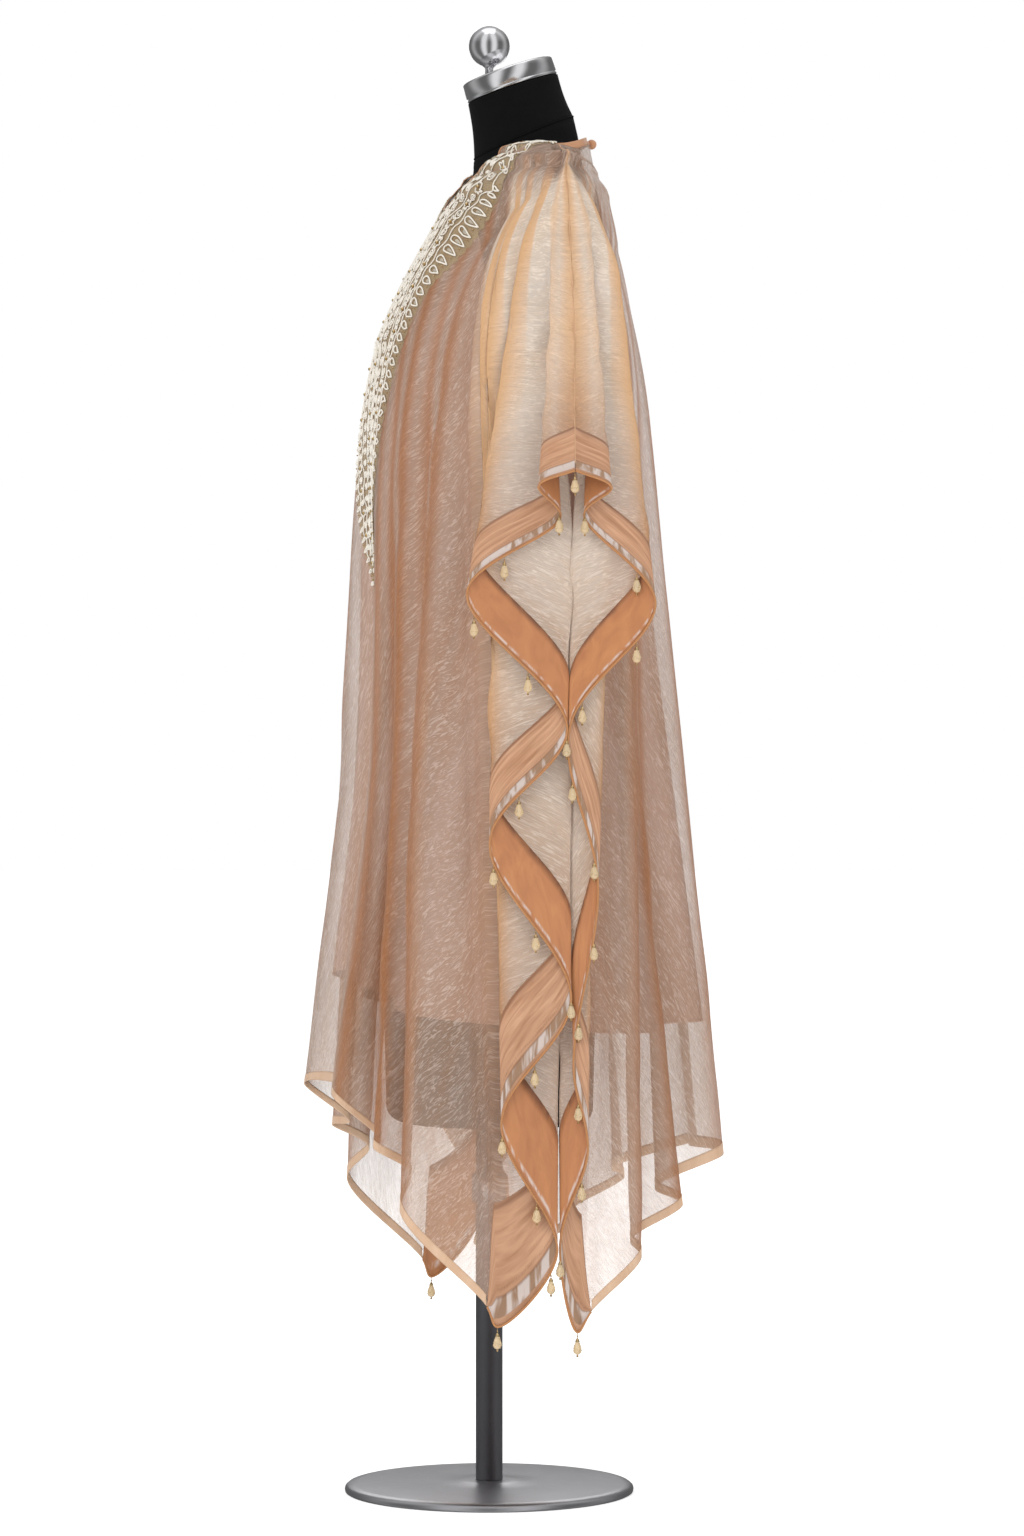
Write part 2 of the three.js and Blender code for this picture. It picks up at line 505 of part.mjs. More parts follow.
function buildForm() {
  const count = 32;
  const edge = TORSO_EDGE.map((row) => sectionRing(TORSO_BOTTOM + row.rise, row.inset, count));
  const heights = [450, 520, 600, 700, 800, 870, 940, 1010, 1070, 1130, 1186, 1230, 1265, 1290, 1315, 1335, 1348, 1358, 1366, 1374, 1382, 1390, 1398, 1406];
  const torso = [...edge, ...heights.map((z) => sectionRing(z, 0, count))];
  ringMesh('form_torso', JERSEY, torso);

  const seam = torso[torso.length - 1];
  const tilt = THREE.MathUtils.degToRad(CAP_TILT);
  const capRing = seam.map((_, i) => {
    const angle = (i / count) * Math.PI * 2;
    const y = CAP_RADIUS * Math.sin(angle);
    return add(CAP_BASE, [CAP_RADIUS * Math.cos(angle), y * Math.cos(tilt), y * Math.sin(tilt)]);
  });
  const lean = THREE.MathUtils.degToRad(FORM_SECTIONS.at(-1).tilt);
  const gap = [0, -Math.sin(lean) * SEAM_GAP, Math.cos(lean) * SEAM_GAP];
  const neck = [0, 0.33, 0.67, 1].map((t) => seam.map((p, i) => {
    const start = add(p, gap);
    const straight = add(scale(start, 1 - t), scale(capRing[i], t));
    const waist = 1 - 0.03 * Math.sin(Math.PI * t);
    const centre = [0, mix(36.5, CAP_BASE[1], t), straight[2]];
    return add(centre, sub(straight, centre), waist);
  }));
  ringMesh('form_neck', JERSEY, neck);
}
buildForm();

// Neck cap: a disc with softened edges, leaning to the front.
const capEdge = 3;
const cap = lathe('neck_cap', CHROME, [
  [0, 0.4], [CAP_RADIUS - 1, 0.4], [CAP_RADIUS, 2], ...arc(capEdge, CAP_HEIGHT - capEdge, 0, 90, 3)
    .map(([r, h]) => [r + CAP_RADIUS - capEdge, h]), [0, CAP_HEIGHT],
], 40);
cap.rotation.x = THREE.MathUtils.degToRad(CAP_TILT);
cap.position.set(...CAP_BASE);

// Ball finial on the pole's axis; its stem ends just above the leaning cap.
const lowestStem = 1472;
const finial = lathe('finial', CHROME, [
  [0, lowestStem], [4, lowestStem], [4, lowestStem + 6], [7, lowestStem + 8.5],
  ...arc(BALL_RADIUS, BALL_HEIGHT, -70, 90, 14).slice(0, -1), [0, BALL_HEIGHT + BALL_RADIUS],
], 28);
finial.position.set(0, 0, 0);

// Pole up to the torso and a plain round base with a collar.
lathe('pole', STEEL, [[0, 12.4], [POLE_RADIUS, 12.4], [POLE_RADIUS, TORSO_BOTTOM - 0.4], [0, TORSO_BOTTOM - 0.4]], 20);
lathe('base', STEEL, [
  [0, 0], [BASE_RADIUS - 2, 0], [BASE_RADIUS, 3], [BASE_RADIUS - 3, 8], [60, 10], [30, 12], [0, 12],
], 48);

export default kaftan;
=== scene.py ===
"""Finish for a sheer poncho kaftan over a satin slip, worn by a limbless dress form on a stand.

Every cloth surface is worked out from fold lines: a point (u, v) lies u fold lines from the
centre and v of the way down, on smooth curves carried first down the lines and then across them.
"""
import math

import bmesh
import bpy
import numpy as np
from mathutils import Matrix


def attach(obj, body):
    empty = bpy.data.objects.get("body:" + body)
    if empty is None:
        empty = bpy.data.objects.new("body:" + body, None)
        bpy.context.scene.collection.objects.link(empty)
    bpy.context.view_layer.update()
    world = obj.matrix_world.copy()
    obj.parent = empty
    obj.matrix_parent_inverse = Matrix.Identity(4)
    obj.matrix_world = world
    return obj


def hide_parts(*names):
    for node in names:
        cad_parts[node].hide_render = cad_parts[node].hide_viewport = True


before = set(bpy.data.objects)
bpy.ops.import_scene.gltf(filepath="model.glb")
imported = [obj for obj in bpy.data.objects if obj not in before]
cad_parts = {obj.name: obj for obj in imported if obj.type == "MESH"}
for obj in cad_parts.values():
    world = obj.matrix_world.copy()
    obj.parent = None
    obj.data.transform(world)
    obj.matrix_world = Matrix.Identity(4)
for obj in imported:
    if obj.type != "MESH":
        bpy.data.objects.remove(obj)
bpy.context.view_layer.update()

MM = 0.001
BODY = "root"

# ---- driving sizes, in millimetres as cut ----
KAFTAN_LIFT = 11.0          # clear of the form
SLIP_LIFT = 4.0
STRAP_LIFT = 3.0
LIFT_LIMIT = 25.0           # the most that one step moves a point off the form
DOWN_EVENNESS = 0.6         # how a span's length weighs in the slopes down the fold lines
ACROSS_EVENNESS = 0.5       # and across them
HALF_WIDTH = 520.0
BAND_WIDTH = 28.0
SATIN_SHARE = 0.76          # of the band, from its inner edge to the silvery stripe
STRIPE_SHARE = 0.93         # of the band, from its inner edge to the piping
HEM_WIDTH = 8.0
NECK_PIPING = 3.0
NECK_BAND = 15.0
BAND_WALL = 0.9
TRIM_WALL = 1.0
SLIP_WALL = 0.8
SLIP_LINE_WIDTH = 0.052     # metres of flat cloth from one slip line to the next
SLIP_LENGTH = 0.76          # metres of flat cloth down the slip
PIPING_RADIUS = 1.15
SEAM_RADIUS = 0.6
SLIP_CORD_RADIUS = 1.1
STITCH = 0.003              # length of a stitch, in metres
CRINKLE_SLANT = -0.45       # radians from the cloth's length
SEAM_SHIFT = 0.35           # of each panel away from the shoulder seam
SHOULDER_EDGE = 190.0
NECK_CORNER = np.array([80.0, 56.0, 1391.0])
SHOULDER_POINT = np.array([185.0, 49.5, 1369.0])
FRONT_NECK = np.array([0.0, -46.0, 1331.0, 0.75])     # x, y, z and the curve's roundness
BACK_NECK = np.array([0.0, 100.0, 1407.0, 1.0])
FRONT_NECK_DROP = 110.0
BACK_NECK_DROP = 15.0
TORSO_BOTTOM = 385.0
FORM_TOP = 1400.0           # the cloth is held clear of the form below this height
CAP_TILT = math.radians(18.6)
CAP_RADIUS = 49.0
CAP_HEIGHT = 21.0
CAP_BASE = np.array([0.0, 25.0, 1456.5])
BALL_HEIGHT = 1501.0
BALL_RADIUS = 21.5
POLE_RADIUS = 14.0
BASE_RADIUS = 150.0

# Dress form sections: height, centre y, half width, half depth, roundness, tilt in degrees.
FORM_SECTIONS = np.array([
    (600, 0, 157, 110, 2.2, 0),
    (800, 0, 162, 112, 2.2, 0),
    (1010, 5, 120, 88, 2.2, 0),
    (1186, 2, 148, 106, 2.3, 0),
    (1290, 34, 164, 84, 2.1, 0),
    (1335, 40, 174, 70, 1.8, 0),
    (1358, 42, 166, 61, 1.4, 0),
    (1374, 41, 98, 57, 1.5, 2),
    (1390, 39, 60, 56, 1.9, 12),
    (1406, 36.5, 56, 56, 2.0, 23.6),
])

# Fold lines of a panel's left half, centre to shoulder seam: place along the neckline (0 to 1)
# or the shoulder seam (1 to 2), then x, y, z at the cap, the middle and the end, then where the
# line ends on the flat cloth (across, down), then how far the right side's middle differs.
FRONT_FOLDS = np.array([
    (0, 0, -113, 1184, 0, -119, 840, 0, -160, 425, 0, 1045, 0),
    (0.32, 72, -106, 1195, 93, -137, 700, 115, -174, 415, 127, 1060, -11),
    (0.5, 100, -98, 1200, 102, -114, 740, 118, -130, 377, 195, 1080, -4),
    (0.68, 122, -88, 1205, 131, -117, 760, 165, -141, 369, 248, 1090, -6),
    (0.84, 142, -68, 1210, 152, -88, 760, 168, -106, 346, 294, 1100, 4),
    (1, 168, -52, 1225, 190, -99, 860, 208, -120, 307, 357, 1110, -6),
    (1.12, 186, -38, 1235, 206, -52, 800, 233, -38, 218, 492, 1125, 2),
    (1.2, 190, -34, 1246, 212, -40, 800, 238, -28, 198, 520, 1127, 3),
    (1.3, 193, -30, 1251, 217, 32, 800, 243, 31, 269, 520, 1050, -3),
    (1.4, 194, -28, 1255, 222, -30, 850, 252, -26, 402, 520, 912, 5),
    (1.5, 195, -16, 1258, 226, 42, 900, 250, 44, 522, 520, 780, -2),
    (1.6, 197, -20, 1262, 226, -33, 950, 254, -38, 678, 520, 612, 6),
    (1.7, 198, 0, 1270, 226, 47, 1020, 250, 40, 790, 520, 470, -3),
    (1.8, 200, 7, 1285, 222, -24, 1130, 256, -61, 924, 520, 300, 5),
    (1.88, 203, 26, 1292, 222, 30, 1150, 246, 34, 999, 520, 150, 2),
    (1.95, 203, 36, 1310, 228, 26, 1190, 266, 9, 1029, 520, 70, -2),
    (2, 192, 49, 1345, 226, 50, 1216, 272, 44, 1044, 520, 0, 0),
])
BACK_FOLDS = np.array([
    (0, 0, 135, 1230, 0, 163, 900, 0, 212, 356, 0, 1070, 0),
    (0.45, 55, 141, 1220, 66, 182, 860, 85, 230, 353, 106, 1078, 6),
    (0.65, 92, 130, 1215, 98, 140, 800, 128, 151, 323, 222, 1090, 4),
    (0.85, 125, 118, 1215, 138, 133, 740, 160, 173, 309, 272, 1100, -5),
    (1, 150, 108, 1225, 158, 108, 760, 172, 118, 276, 351, 1110, -3),
    (1.1, 172, 104, 1230, 194, 119, 760, 205, 122, 260, 396, 1115, 5),
    (1.2, 186, 98, 1238, 204, 88, 760, 231, 67, 211, 492, 1125, -2),
    (1.27, 189, 96, 1243, 208, 76, 760, 236, 52, 191, 520, 1127, -3),
    (1.37, 191, 93, 1248, 214, 39, 800, 240, 34, 280, 520, 1050, 4),
    (1.45, 193, 92, 1253, 220, 72, 830, 250, 60, 371, 520, 912, -4),
    (1.55, 195, 86, 1256, 224, 45, 900, 248, 46, 456, 520, 780, 1),
    (1.63, 197, 92, 1260, 226, 86, 960, 252, 70, 633, 520, 612, 6),
    (1.72, 199, 84, 1264, 226, 51, 1030, 249, 42, 791, 520, 470, 2),
    (1.8, 202, 93, 1272, 222, 110, 1130, 256, 127, 915, 520, 300, -5),
    (1.88, 203, 74, 1292, 222, 66, 1150, 246, 57, 1002, 520, 150, -1),
    (1.95, 203, 66, 1305, 230, 74, 1187, 266, 81, 1028, 520, 70, 2),
    (2, 192, 49, 1345, 226, 50, 1216, 272, 44, 1044, 520, 0, 0),
])
FOOT = 6                    # fold line where the side band meets the hem
# Slip lines, centre to side seam: x, y, z at the upper edge, the cap, the middle and the hem.
SLIP_FRONT = np.array([
    (0, -84, 1234, 0, -109, 1180, 0, -114, 800, 0, -136, 545),
    (45, -62, 1262, 68, -104, 1180, 86, -128, 740, 99, -150, 533),
    (85, -42, 1288, 95, -94, 1180, 97, -104, 760, 103, -117, 522),
    (104, -26, 1300, 121, -80, 1180, 126, -106, 760, 143, -115, 508),
    (142, -20, 1240, 146, -48, 1170, 148, -72, 760, 158, -78, 500),
    (158, 16, 1150, 162, 14, 1080, 178, 6, 760, 182, 0, 493),
])
SLIP_BACK = np.array([
    (0, 122, 1240, 0, 124, 1150, 0, 146, 860, 0, 196, 491),
    (52, 122, 1262, 56, 130, 1150, 66, 172, 800, 76, 210, 491),
    (95, 108, 1284, 92, 120, 1150, 94, 127, 760, 112, 134, 488),
    (113, 103, 1286, 120, 104, 1160, 128, 120, 740, 142, 148, 484),
    (142, 84, 1236, 148, 82, 1150, 150, 84, 760, 158, 92, 484),
    (158, 16, 1150, 162, 14, 1080, 178, 6, 760, 182, 0, 493),
])
STRAP_PATH = np.array([
    (104, -24, 1303), (105, 0, 1334), (105, 26, 1358), (105, 52, 1370), (106, 80, 1362),
    (107, 96, 1330), (108, 102, 1292),
])


NECK_FALL_POWER = 1.9       # how the neckline's height falls from the corner to the centre
FAR_END_SHARE = 0.4         # part of a far fold's shift that its lower end takes


# ---- shapes worked out on arrays ----
def smooth_path(points, at, power):
    """Curve through K points for each item, by cubic pieces between them. A span measures its
    length to the given power, and its rate is its step over that measure."""
    last = points.shape[1] - 1
    piece = np.clip(np.floor(at).astype(int), 0, last - 1)
    t = (at - piece)[:, None]
    item = np.arange(len(points))
    step = points[:, 1:] - points[:, :-1]
    span = np.maximum(np.linalg.norm(step, axis=2), 1e-6) ** power

    def slope(k):
        """Mean of the rates of the spans before and after point k, each weighed by the measure
        of the other span."""
        before = np.clip(k - 1, 0, last - 1)
        after = np.clip(k, 0, last - 1)
        a = span[item, before][:, None]
        b = span[item, after][:, None]
        return (step[item, before] / a * b + step[item, after] / b * a) / (a + b)

    length = span[item, piece][:, None]
    start = points[item, piece] * (2 * t**3 - 3 * t**2 + 1) + slope(piece) * length * (t**3 - 2 * t**2 + t)
    end = points[item, piece + 1] * (3 * t**2 - 2 * t**3) + slope(piece + 1) * length * (t**3 - t**2)
    return start + end


def form_section(z):
    """Every column of the form's sections at heights z, eased half way between the rows."""
    rows = FORM_SECTIONS
    i = np.clip(np.searchsorted(rows[:, 0], z) - 1, 0, len(rows) - 2)
    t = np.clip((z - rows[i, 0]) / (rows[i + 1, 0] - rows[i, 0]), 0, 1)
    s = 0.5 * t * t * (3 - 2 * t) + 0.5 * t
    columns = rows[i, 1:] + (rows[i + 1, 1:] - rows[i, 1:]) * s[:, None]
    drop = np.clip((rows[0, 0] - z) / (rows[0, 0] - TORSO_BOTTOM), 0, None)
    columns[:, 1] -= 15 * drop
    columns[:, 2] -= 5 * drop
    return columns.T


def form_ratio(p):
    """1 on the form's surface, more outside it: the superellipse of the section at each height."""
    yc, hx, hy, roundness, _ = form_section(p[:, 2])
    return (np.abs(p[:, 0] / hx) ** roundness + np.abs((p[:, 1] - yc) / hy) ** roundness) ** (1 / roundness)


def lift_off(points, clear):
    """Moves points out along the form's slope until they are clear of it by the given distance,
    in three steps of (clear - (ratio - 1) / slope), none longer than the limit."""
    moved = points.copy()
    held = (points[:, 2] < FORM_TOP) & (points[:, 2] > TORSO_BOTTOM)
    p = moved[held]
    probe = 0.5
    for _ in range(3):
        here = form_ratio(p)
        slope = np.stack([form_ratio(p + probe * np.eye(3)[k]) - here for k in range(3)], axis=1) / probe
        steep = np.maximum(np.linalg.norm(slope, axis=1), 1e-4)
        short = np.clip(clear - (here - 1) / steep, 0, LIFT_LIMIT)
        p = p + slope / steep[:, None] * short[:, None]
    moved[held] = p
    return moved


def across_lines(lines, u, v):
    """Points at (u, v), u counted from the first line: down each of the four lines nearest to u
    by v, then across those four; past an outer line, the line is carried on straight."""
    last = len(lines) - 1
    piece = np.clip(np.floor(u).astype(int), 0, last - 1)
    near = [smooth_path(lines[np.clip(piece + k, 0, last)], v * 3, DOWN_EVENNESS) for k in (-1, 0, 1, 2)]
    near[0] = np.where((piece == 0)[:, None], 2 * near[1] - near[2], near[0])
    near[3] = np.where((piece == last - 1)[:, None], 2 * near[2] - near[1], near[3])
    return smooth_path(np.stack(near, axis=1), 1 + u - piece, ACROSS_EVENNESS)


def unit(a):
    """Vectors of length one along the last axis."""
    return a / np.maximum(np.linalg.norm(a, axis=-1, keepdims=True), 1e-9)


def distance_along(path):
    """Distance from a path's first point to each of its points, added up point by point."""
    return np.concatenate([[0], np.cumsum(np.linalg.norm(np.diff(path, axis=0), axis=1))])


def read_along(at, known, path):
    """A path's points read between its own, at places on its known scale."""
    return np.stack([np.interp(at, known, path[:, axis]) for axis in range(path.shape[1])], axis=1)


def pairs(first, second):
    """UV values from two grids or rows that are spread over each other."""
    return np.stack(np.broadcast_arrays(first, second), axis=-1)


def table_at(table, row, share):
    """A table read between its rows and columns, the column given as a share from 0 to 1."""
    i = np.clip(np.floor(row).astype(int), 0, len(table) - 2)
    f = row - i
    x = share * (table.shape[1] - 1)
    j = np.clip(np.floor(x).astype(int), 0, table.shape[1] - 2)
    g = x - j
    left = table[i, j] * (1 - f) + table[i + 1, j] * f
    right = table[i, j + 1] * (1 - f) + table[i + 1, j + 1] * f
    return left * (1 - g) + right * g


def mirror_lines(half):
    """Right-hand copies of the left-hand lines, before them, so that they run right to left."""
    right = half[:0:-1].copy()
    right[:, :, 0] *= -1
    return np.concatenate([right, half])


class FoldedPanel:
    """A kaftan panel: its fold lines, their flat ends, and its surface over (u, v)."""

    def __init__(self, folds, neck, neck_drop, side):
        """Lines from a table of folds. With a the turn from the centre to the neck corner, a top
        end on the neckline lies at the corner's x times sin a, its y follows cos a to the neck's
        own power and its z cos a to the fall power; past the corner it lies on the straight
        shoulder seam. The share of a line at a place is the length run there over the whole."""
        self.side = side
        place = folds[:, 0]
        turn = np.minimum(place, 1) * math.pi / 2
        fall = np.maximum(np.cos(turn), 0) ** NECK_FALL_POWER
        on_neck = np.stack([
            NECK_CORNER[0] * np.sin(turn),
            NECK_CORNER[1] + (neck[1] - NECK_CORNER[1]) * np.maximum(np.cos(turn), 0) ** neck[3],
            NECK_CORNER[2] + (neck[2] - NECK_CORNER[2]) * fall,
        ], axis=1)
        along = np.clip(place - 1, 0, 1)[:, None]
        on_seam = NECK_CORNER + (SHOULDER_POINT - NECK_CORNER) * along
        top = np.where(place[:, None] < 1, on_neck, on_seam)
        half = np.stack([top, folds[:, 1:4], folds[:, 4:7], folds[:, 7:10]], axis=1)
        self.lines = mirror_lines(half)
        other = slice(0, len(folds) - 1)
        far = folds[:0:-1, 12]
        self.lines[other, 2, 1] += far
        self.lines[other, 3, 1] += far * FAR_END_SHARE
        flat_top_x = np.where(place < 1, NECK_CORNER[0] * np.sin(turn),
                              NECK_CORNER[0] + (SHOULDER_EDGE - NECK_CORNER[0]) * along[:, 0])
        flat_top_y = np.where(place < 1, neck_drop * np.cos(turn), 0)
        flat = np.stack([np.stack([flat_top_x, flat_top_y], axis=1), folds[:, 10:12]], axis=1)
        self.flat = mirror_lines(flat)
        self.middle = len(folds) - 1
        self.order = np.arange(-self.middle, self.middle + 1)
        self.lengths = np.linalg.norm(np.diff(self.lines, axis=1), axis=2).sum(axis=1)
        in_neck = place <= 1
        self.in_neck = np.concatenate([in_neck[:0:-1], in_neck]).astype(float)
        count = len(self.lines)
        steps = 61
        at = np.linspace(0, 1, steps)
        all_at = np.tile(at, count)
        path = smooth_path(np.repeat(self.lines, steps, axis=0), all_at * 3, DOWN_EVENNESS)
        path = path.reshape(count, steps, 3)
        run = np.cumsum(np.linalg.norm(np.diff(path, axis=1), axis=2), axis=1)
        self.share = np.concatenate([np.zeros((count, 1)), run / run[:, -1:]], axis=1)
        lift = 2.0 * np.arange(count)[:, None]
        self.place = np.interp((at + lift).ravel(), (self.share + lift).ravel(), all_at)
        self.place = self.place.reshape(count, steps)

    def length(self, u):
        """Length of a fold line, in millimetres, read between the lines."""
        return np.interp(u, self.order, self.lengths)

    def surface(self, u, v):
        """Millimetre points at (u, v), clear of the form, each panel on its side of the seam."""
        wide = np.clip(u.ravel(), -self.middle, self.middle) + self.middle
        points = lift_off(across_lines(self.lines, wide, np.clip(v.ravel(), 0, 1)), KAFTAN_LIFT)
        points[:, 1] += self.side * SEAM_SHIFT
        return points.reshape(*u.shape, 3)

    def flat_place(self, u, v):
        """Where (u, v) is on the flat cloth, in metres across and down."""
        ends = [[np.interp(u, self.order, self.flat[:, k, axis]) for axis in (0, 1)] for k in (0, 1)]
        w = table_at(self.share, u + self.middle, v)
        return np.stack([(ends[0][axis] * (1 - w) + ends[1][axis] * w) * MM for axis in (0, 1)], axis=-1)

    def from_flat(self, x, y):
        """(u, v) of a place on the flat cloth in millimetres: u is halved in until the fold line's
        x at that depth is right, and v is read from the line's table of lengths."""
        low = np.zeros_like(x)
        high = np.full_like(x, self.middle)
        for _ in range(24):
            u = (low + high) / 2
            top_x, top_y, end_x, end_y = [np.interp(u, self.order, self.flat[:, k, axis])
                                          for k in (0, 1) for axis in (0, 1)]
            w = np.clip((y - top_y) / (end_y - top_y), 0, 1)
            short = top_x + (end_x - top_x) * w < np.abs(x)
            low = np.where(short, u, low)
            high = np.where(short, high, u)
        u = u * np.sign(x)
        return u, table_at(self.place, u + self.middle, w)

    def cloth(self, u, v, height=0.0):
        """Metre points of the rippled cloth, raised by a height along the normals."""
        flat = self.flat_place(u, v)
        end = self.panel_end(u)
        free = np.clip((v - 0.04) / 0.2, 0, 1) * np.clip((end - v) / 0.03, 0, 1)
        if self.side < 0:
            sewn = np.exp(-((flat[..., 0] / 0.085) ** 4)) * np.clip((0.56 - flat[..., 1]) / 0.06, 0, 1)
            free = free * (1 - 0.8 * sewn)
        rise = ripple(flat[..., 0], flat[..., 1], seed=self.side) * free + height
        return self.surface(u, v) * MM + self.normals(u, v) * rise[..., None], flat

    def normals(self, u, v):
        """Unit normals away from the body, from small steps both ways."""
        e = 0.004
        across = self.surface(u + e, v) - self.surface(u - e, v)
        down = self.surface(u, v + e) - self.surface(u, v - e)
        return unit(np.cross(across, down)) * self.side

    def band_start(self, u):
        """Share of each line above the side band, or above the hem binding between the feet."""
        reach = np.abs(self.flat[:, 1, 0]) - np.abs(self.flat[:, 0, 0])
        start = 1 - (np.abs(self.flat[:, 1, 0]) - (HALF_WIDTH - BAND_WIDTH)) / reach
        least = 1 - 1.5 / self.length(u)
        return np.where(np.abs(u) <= FOOT, least, np.minimum(np.interp(u, self.order, start), least))

    def hem_start(self, u):
        """Share of each line above the hem binding: one less the binding's width over the length."""
        return 1 - HEM_WIDTH / self.length(u)

    def panel_end(self, u):
        """Share of each line that is sheer cloth: down to the hem binding or the side band."""
        return np.where(np.abs(u) <= FOOT, self.hem_start(u), self.band_start(u))

    def trim_end(self, u, width):
        """Share of each line that a neck trim of this width takes, none along the shoulder seam."""
        return np.interp(u, self.order, self.in_neck) * width / self.length(u)


def ripple(across, down, seed=0.0):
    """Uneven ripples in metres over the flat cloth: three waves across it whose phase drifts
    down it, each swelling and fading slowly."""
    waves = ((0.034, 0.31, 0.0006), (0.051, 0.47, 0.0009), (0.079, 0.62, 0.0012))
    total = np.zeros_like(across)
    for k, (width, length, height) in enumerate(waves):
        drift = 2.1 * np.sin(2 * np.pi * down / length + 1.7 * k + seed) + 1.3 * np.sin(9 * across + 5 * k)
        swell = 0.55 + 0.45 * np.sin(2 * np.pi * (down / (1.4 * length) + across / 0.37) + 2.3 * k + seed)
        total += height * swell * np.sin(2 * np.pi * across / width + drift)
    return total


# ---- meshes from grids ----
def grids_mesh(name, points, uv=None, flip=False, smooth=True, values=None):
    """One object from grids (n, rows, columns, 3) in metres; equal corners are merged, so rings
    that come back to their start are closed."""
    n, rows, columns = points.shape[:3]
    index = np.arange(n * rows * columns).reshape(n, rows, columns)
    corners = [index[:, :-1, :-1], index[:, :-1, 1:], index[:, 1:, 1:], index[:, 1:, :-1]]
    if flip:
        corners = corners[::-1]
    faces = np.stack(corners, axis=-1).reshape(-1, 4)
    mesh = bpy.data.meshes.new(name)
    mesh.from_pydata(points.reshape(-1, 3).tolist(), [], faces.tolist())
    if uv is not None:
        layer = mesh.uv_layers.new(name="flat")
        layer.data.foreach_set("uv", uv.reshape(-1, 2)[faces.ravel()].astype(np.float32).ravel())
    for key, value in (values or {}).items():
        attribute = mesh.attributes.new(key, "FLOAT", "POINT")
        attribute.data.foreach_set("value", value.astype(np.float32).ravel())
    work = bmesh.new()
    work.from_mesh(mesh)
    bmesh.ops.remove_doubles(work, verts=work.verts, dist=2e-6)
    bmesh.ops.dissolve_degenerate(work, edges=work.edges, dist=1e-7)
    work.to_mesh(mesh)
    work.free()
    mesh.polygons.foreach_set("use_smooth", np.full(len(mesh.polygons), smooth))
    mesh.update()
    piece = bpy.data.objects.new(name, mesh)
    bpy.context.collection.objects.link(piece)
    return piece


def add_wall(piece, thickness):
    """Makes the cloth a wall of this thickness in millimetres, half of it on each side."""
    wall = piece.modifiers.new("wall", "SOLIDIFY")
    wall.thickness = thickness * MM
    wall.offset = 0
    return wall


def finish_piece(piece, material, slot, *nodes):
    """Gives a piece its material, hides the solids that it stands for, and fixes it on the one
    body. The slot is not used."""
    piece.data.materials.append(material)
    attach(piece, BODY)
    if nodes:
        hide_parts(*nodes)
    return piece


def tubes(paths, radius, sides=6, normals=None, closed=False):
    """Grids of round cords along paths (n, k, 3): a ring about each point, square to the path.
    Open cords end in a point at each end; closed ones come back to their start."""
    if closed:
        tangent = np.roll(paths, -1, axis=1) - np.roll(paths, 1, axis=1)
    else:
        tangent = np.gradient(paths, axis=1)
    tangent = unit(tangent)
    if normals is None:
        normals = np.broadcast_to(np.array([0.31, 0.17, 0.93]), paths.shape)
    side = unit(np.cross(tangent, normals))
    up = np.cross(side, tangent)
    angle = np.linspace(0, 2 * np.pi, sides + 1)
    ring = np.cos(angle)[:, None] * up[:, :, None, :] + np.sin(angle)[:, None] * -side[:, :, None, :]
    reach = np.broadcast_to(np.asarray(radius), paths.shape[:2])[..., None, None]
    grid = paths[:, :, None, :] + ring * reach
    if closed:
        return np.concatenate([grid, grid[:, :1]], axis=1)
    first = np.broadcast_to(paths[:, :1, None, :], grid[:, :1].shape)
    last = np.broadcast_to(paths[:, -1:, None, :], grid[:, -1:].shape)
    return np.concatenate([first, grid, last], axis=1)


def lathe_grid(outline, segments, place=None):
    """Grid of a profile (radius, height) turned about Z, in millimetres, moved by place."""
    angle = np.linspace(0, 2 * np.pi, segments + 1)
    outline = np.asarray(outline, float)[::-1]
    ring = np.stack([np.cos(angle), np.sin(angle)], axis=-1)
    points = np.zeros((len(outline), segments + 1, 3))
    points[..., :2] = outline[:, None, :1] * ring[None]
    points[..., 2] = outline[:, None, 1]
    if place is not None:
        points = place(points)
    return points[None] * MM


def arc_points(radius, centre, start, end, steps):
    """Points of an arc from one angle to another in degrees: (r cos a, centre + r sin a)."""
    angle = np.radians(np.linspace(start, end, steps))
    return [(radius * math.cos(a), centre + radius * math.sin(a)) for a in angle]


# ---- shader groups and materials ----
def add_node(tree, kind, inputs=None, **settings):
    """A new node with its settings; each input takes a plain value or the socket linked to it."""
    node = tree.nodes.new(kind)
    for key, value in settings.items():
        setattr(node, key, value)
    for socket, value in (inputs or {}).items():
        if isinstance(value, bpy.types.NodeSocket):
            tree.links.new(value, node.inputs[socket])
        else:
            node.inputs[socket].default_value = value
    return node


def math_node(tree, operation, *values, clamp=False):
    """The result of one math step on plain numbers and sockets."""
    node = add_node(tree, "ShaderNodeMath", dict(enumerate(values)), operation=operation, use_clamp=clamp)
    return node.outputs[0]


def times(tree, first, second):
    """The product of two values."""
    return math_node(tree, "MULTIPLY", first, second)


def new_group(name, inputs, output_names):
    """An empty group with a vector input, number inputs with their defaults, and number outputs."""
    tree = bpy.data.node_groups.new(name, "ShaderNodeTree")
    tree.interface.new_socket(name="Vector", in_out="INPUT", socket_type="NodeSocketVector")
    for label, value in inputs.items():
        socket = tree.interface.new_socket(name=label, in_out="INPUT", socket_type="NodeSocketFloat")
        socket.default_value = value
    for label in output_names:
        tree.interface.new_socket(name=label, in_out="OUTPUT", socket_type="NodeSocketFloat")
    return tree, tree.nodes.new("NodeGroupInput").outputs, tree.nodes.new("NodeGroupOutput").inputs


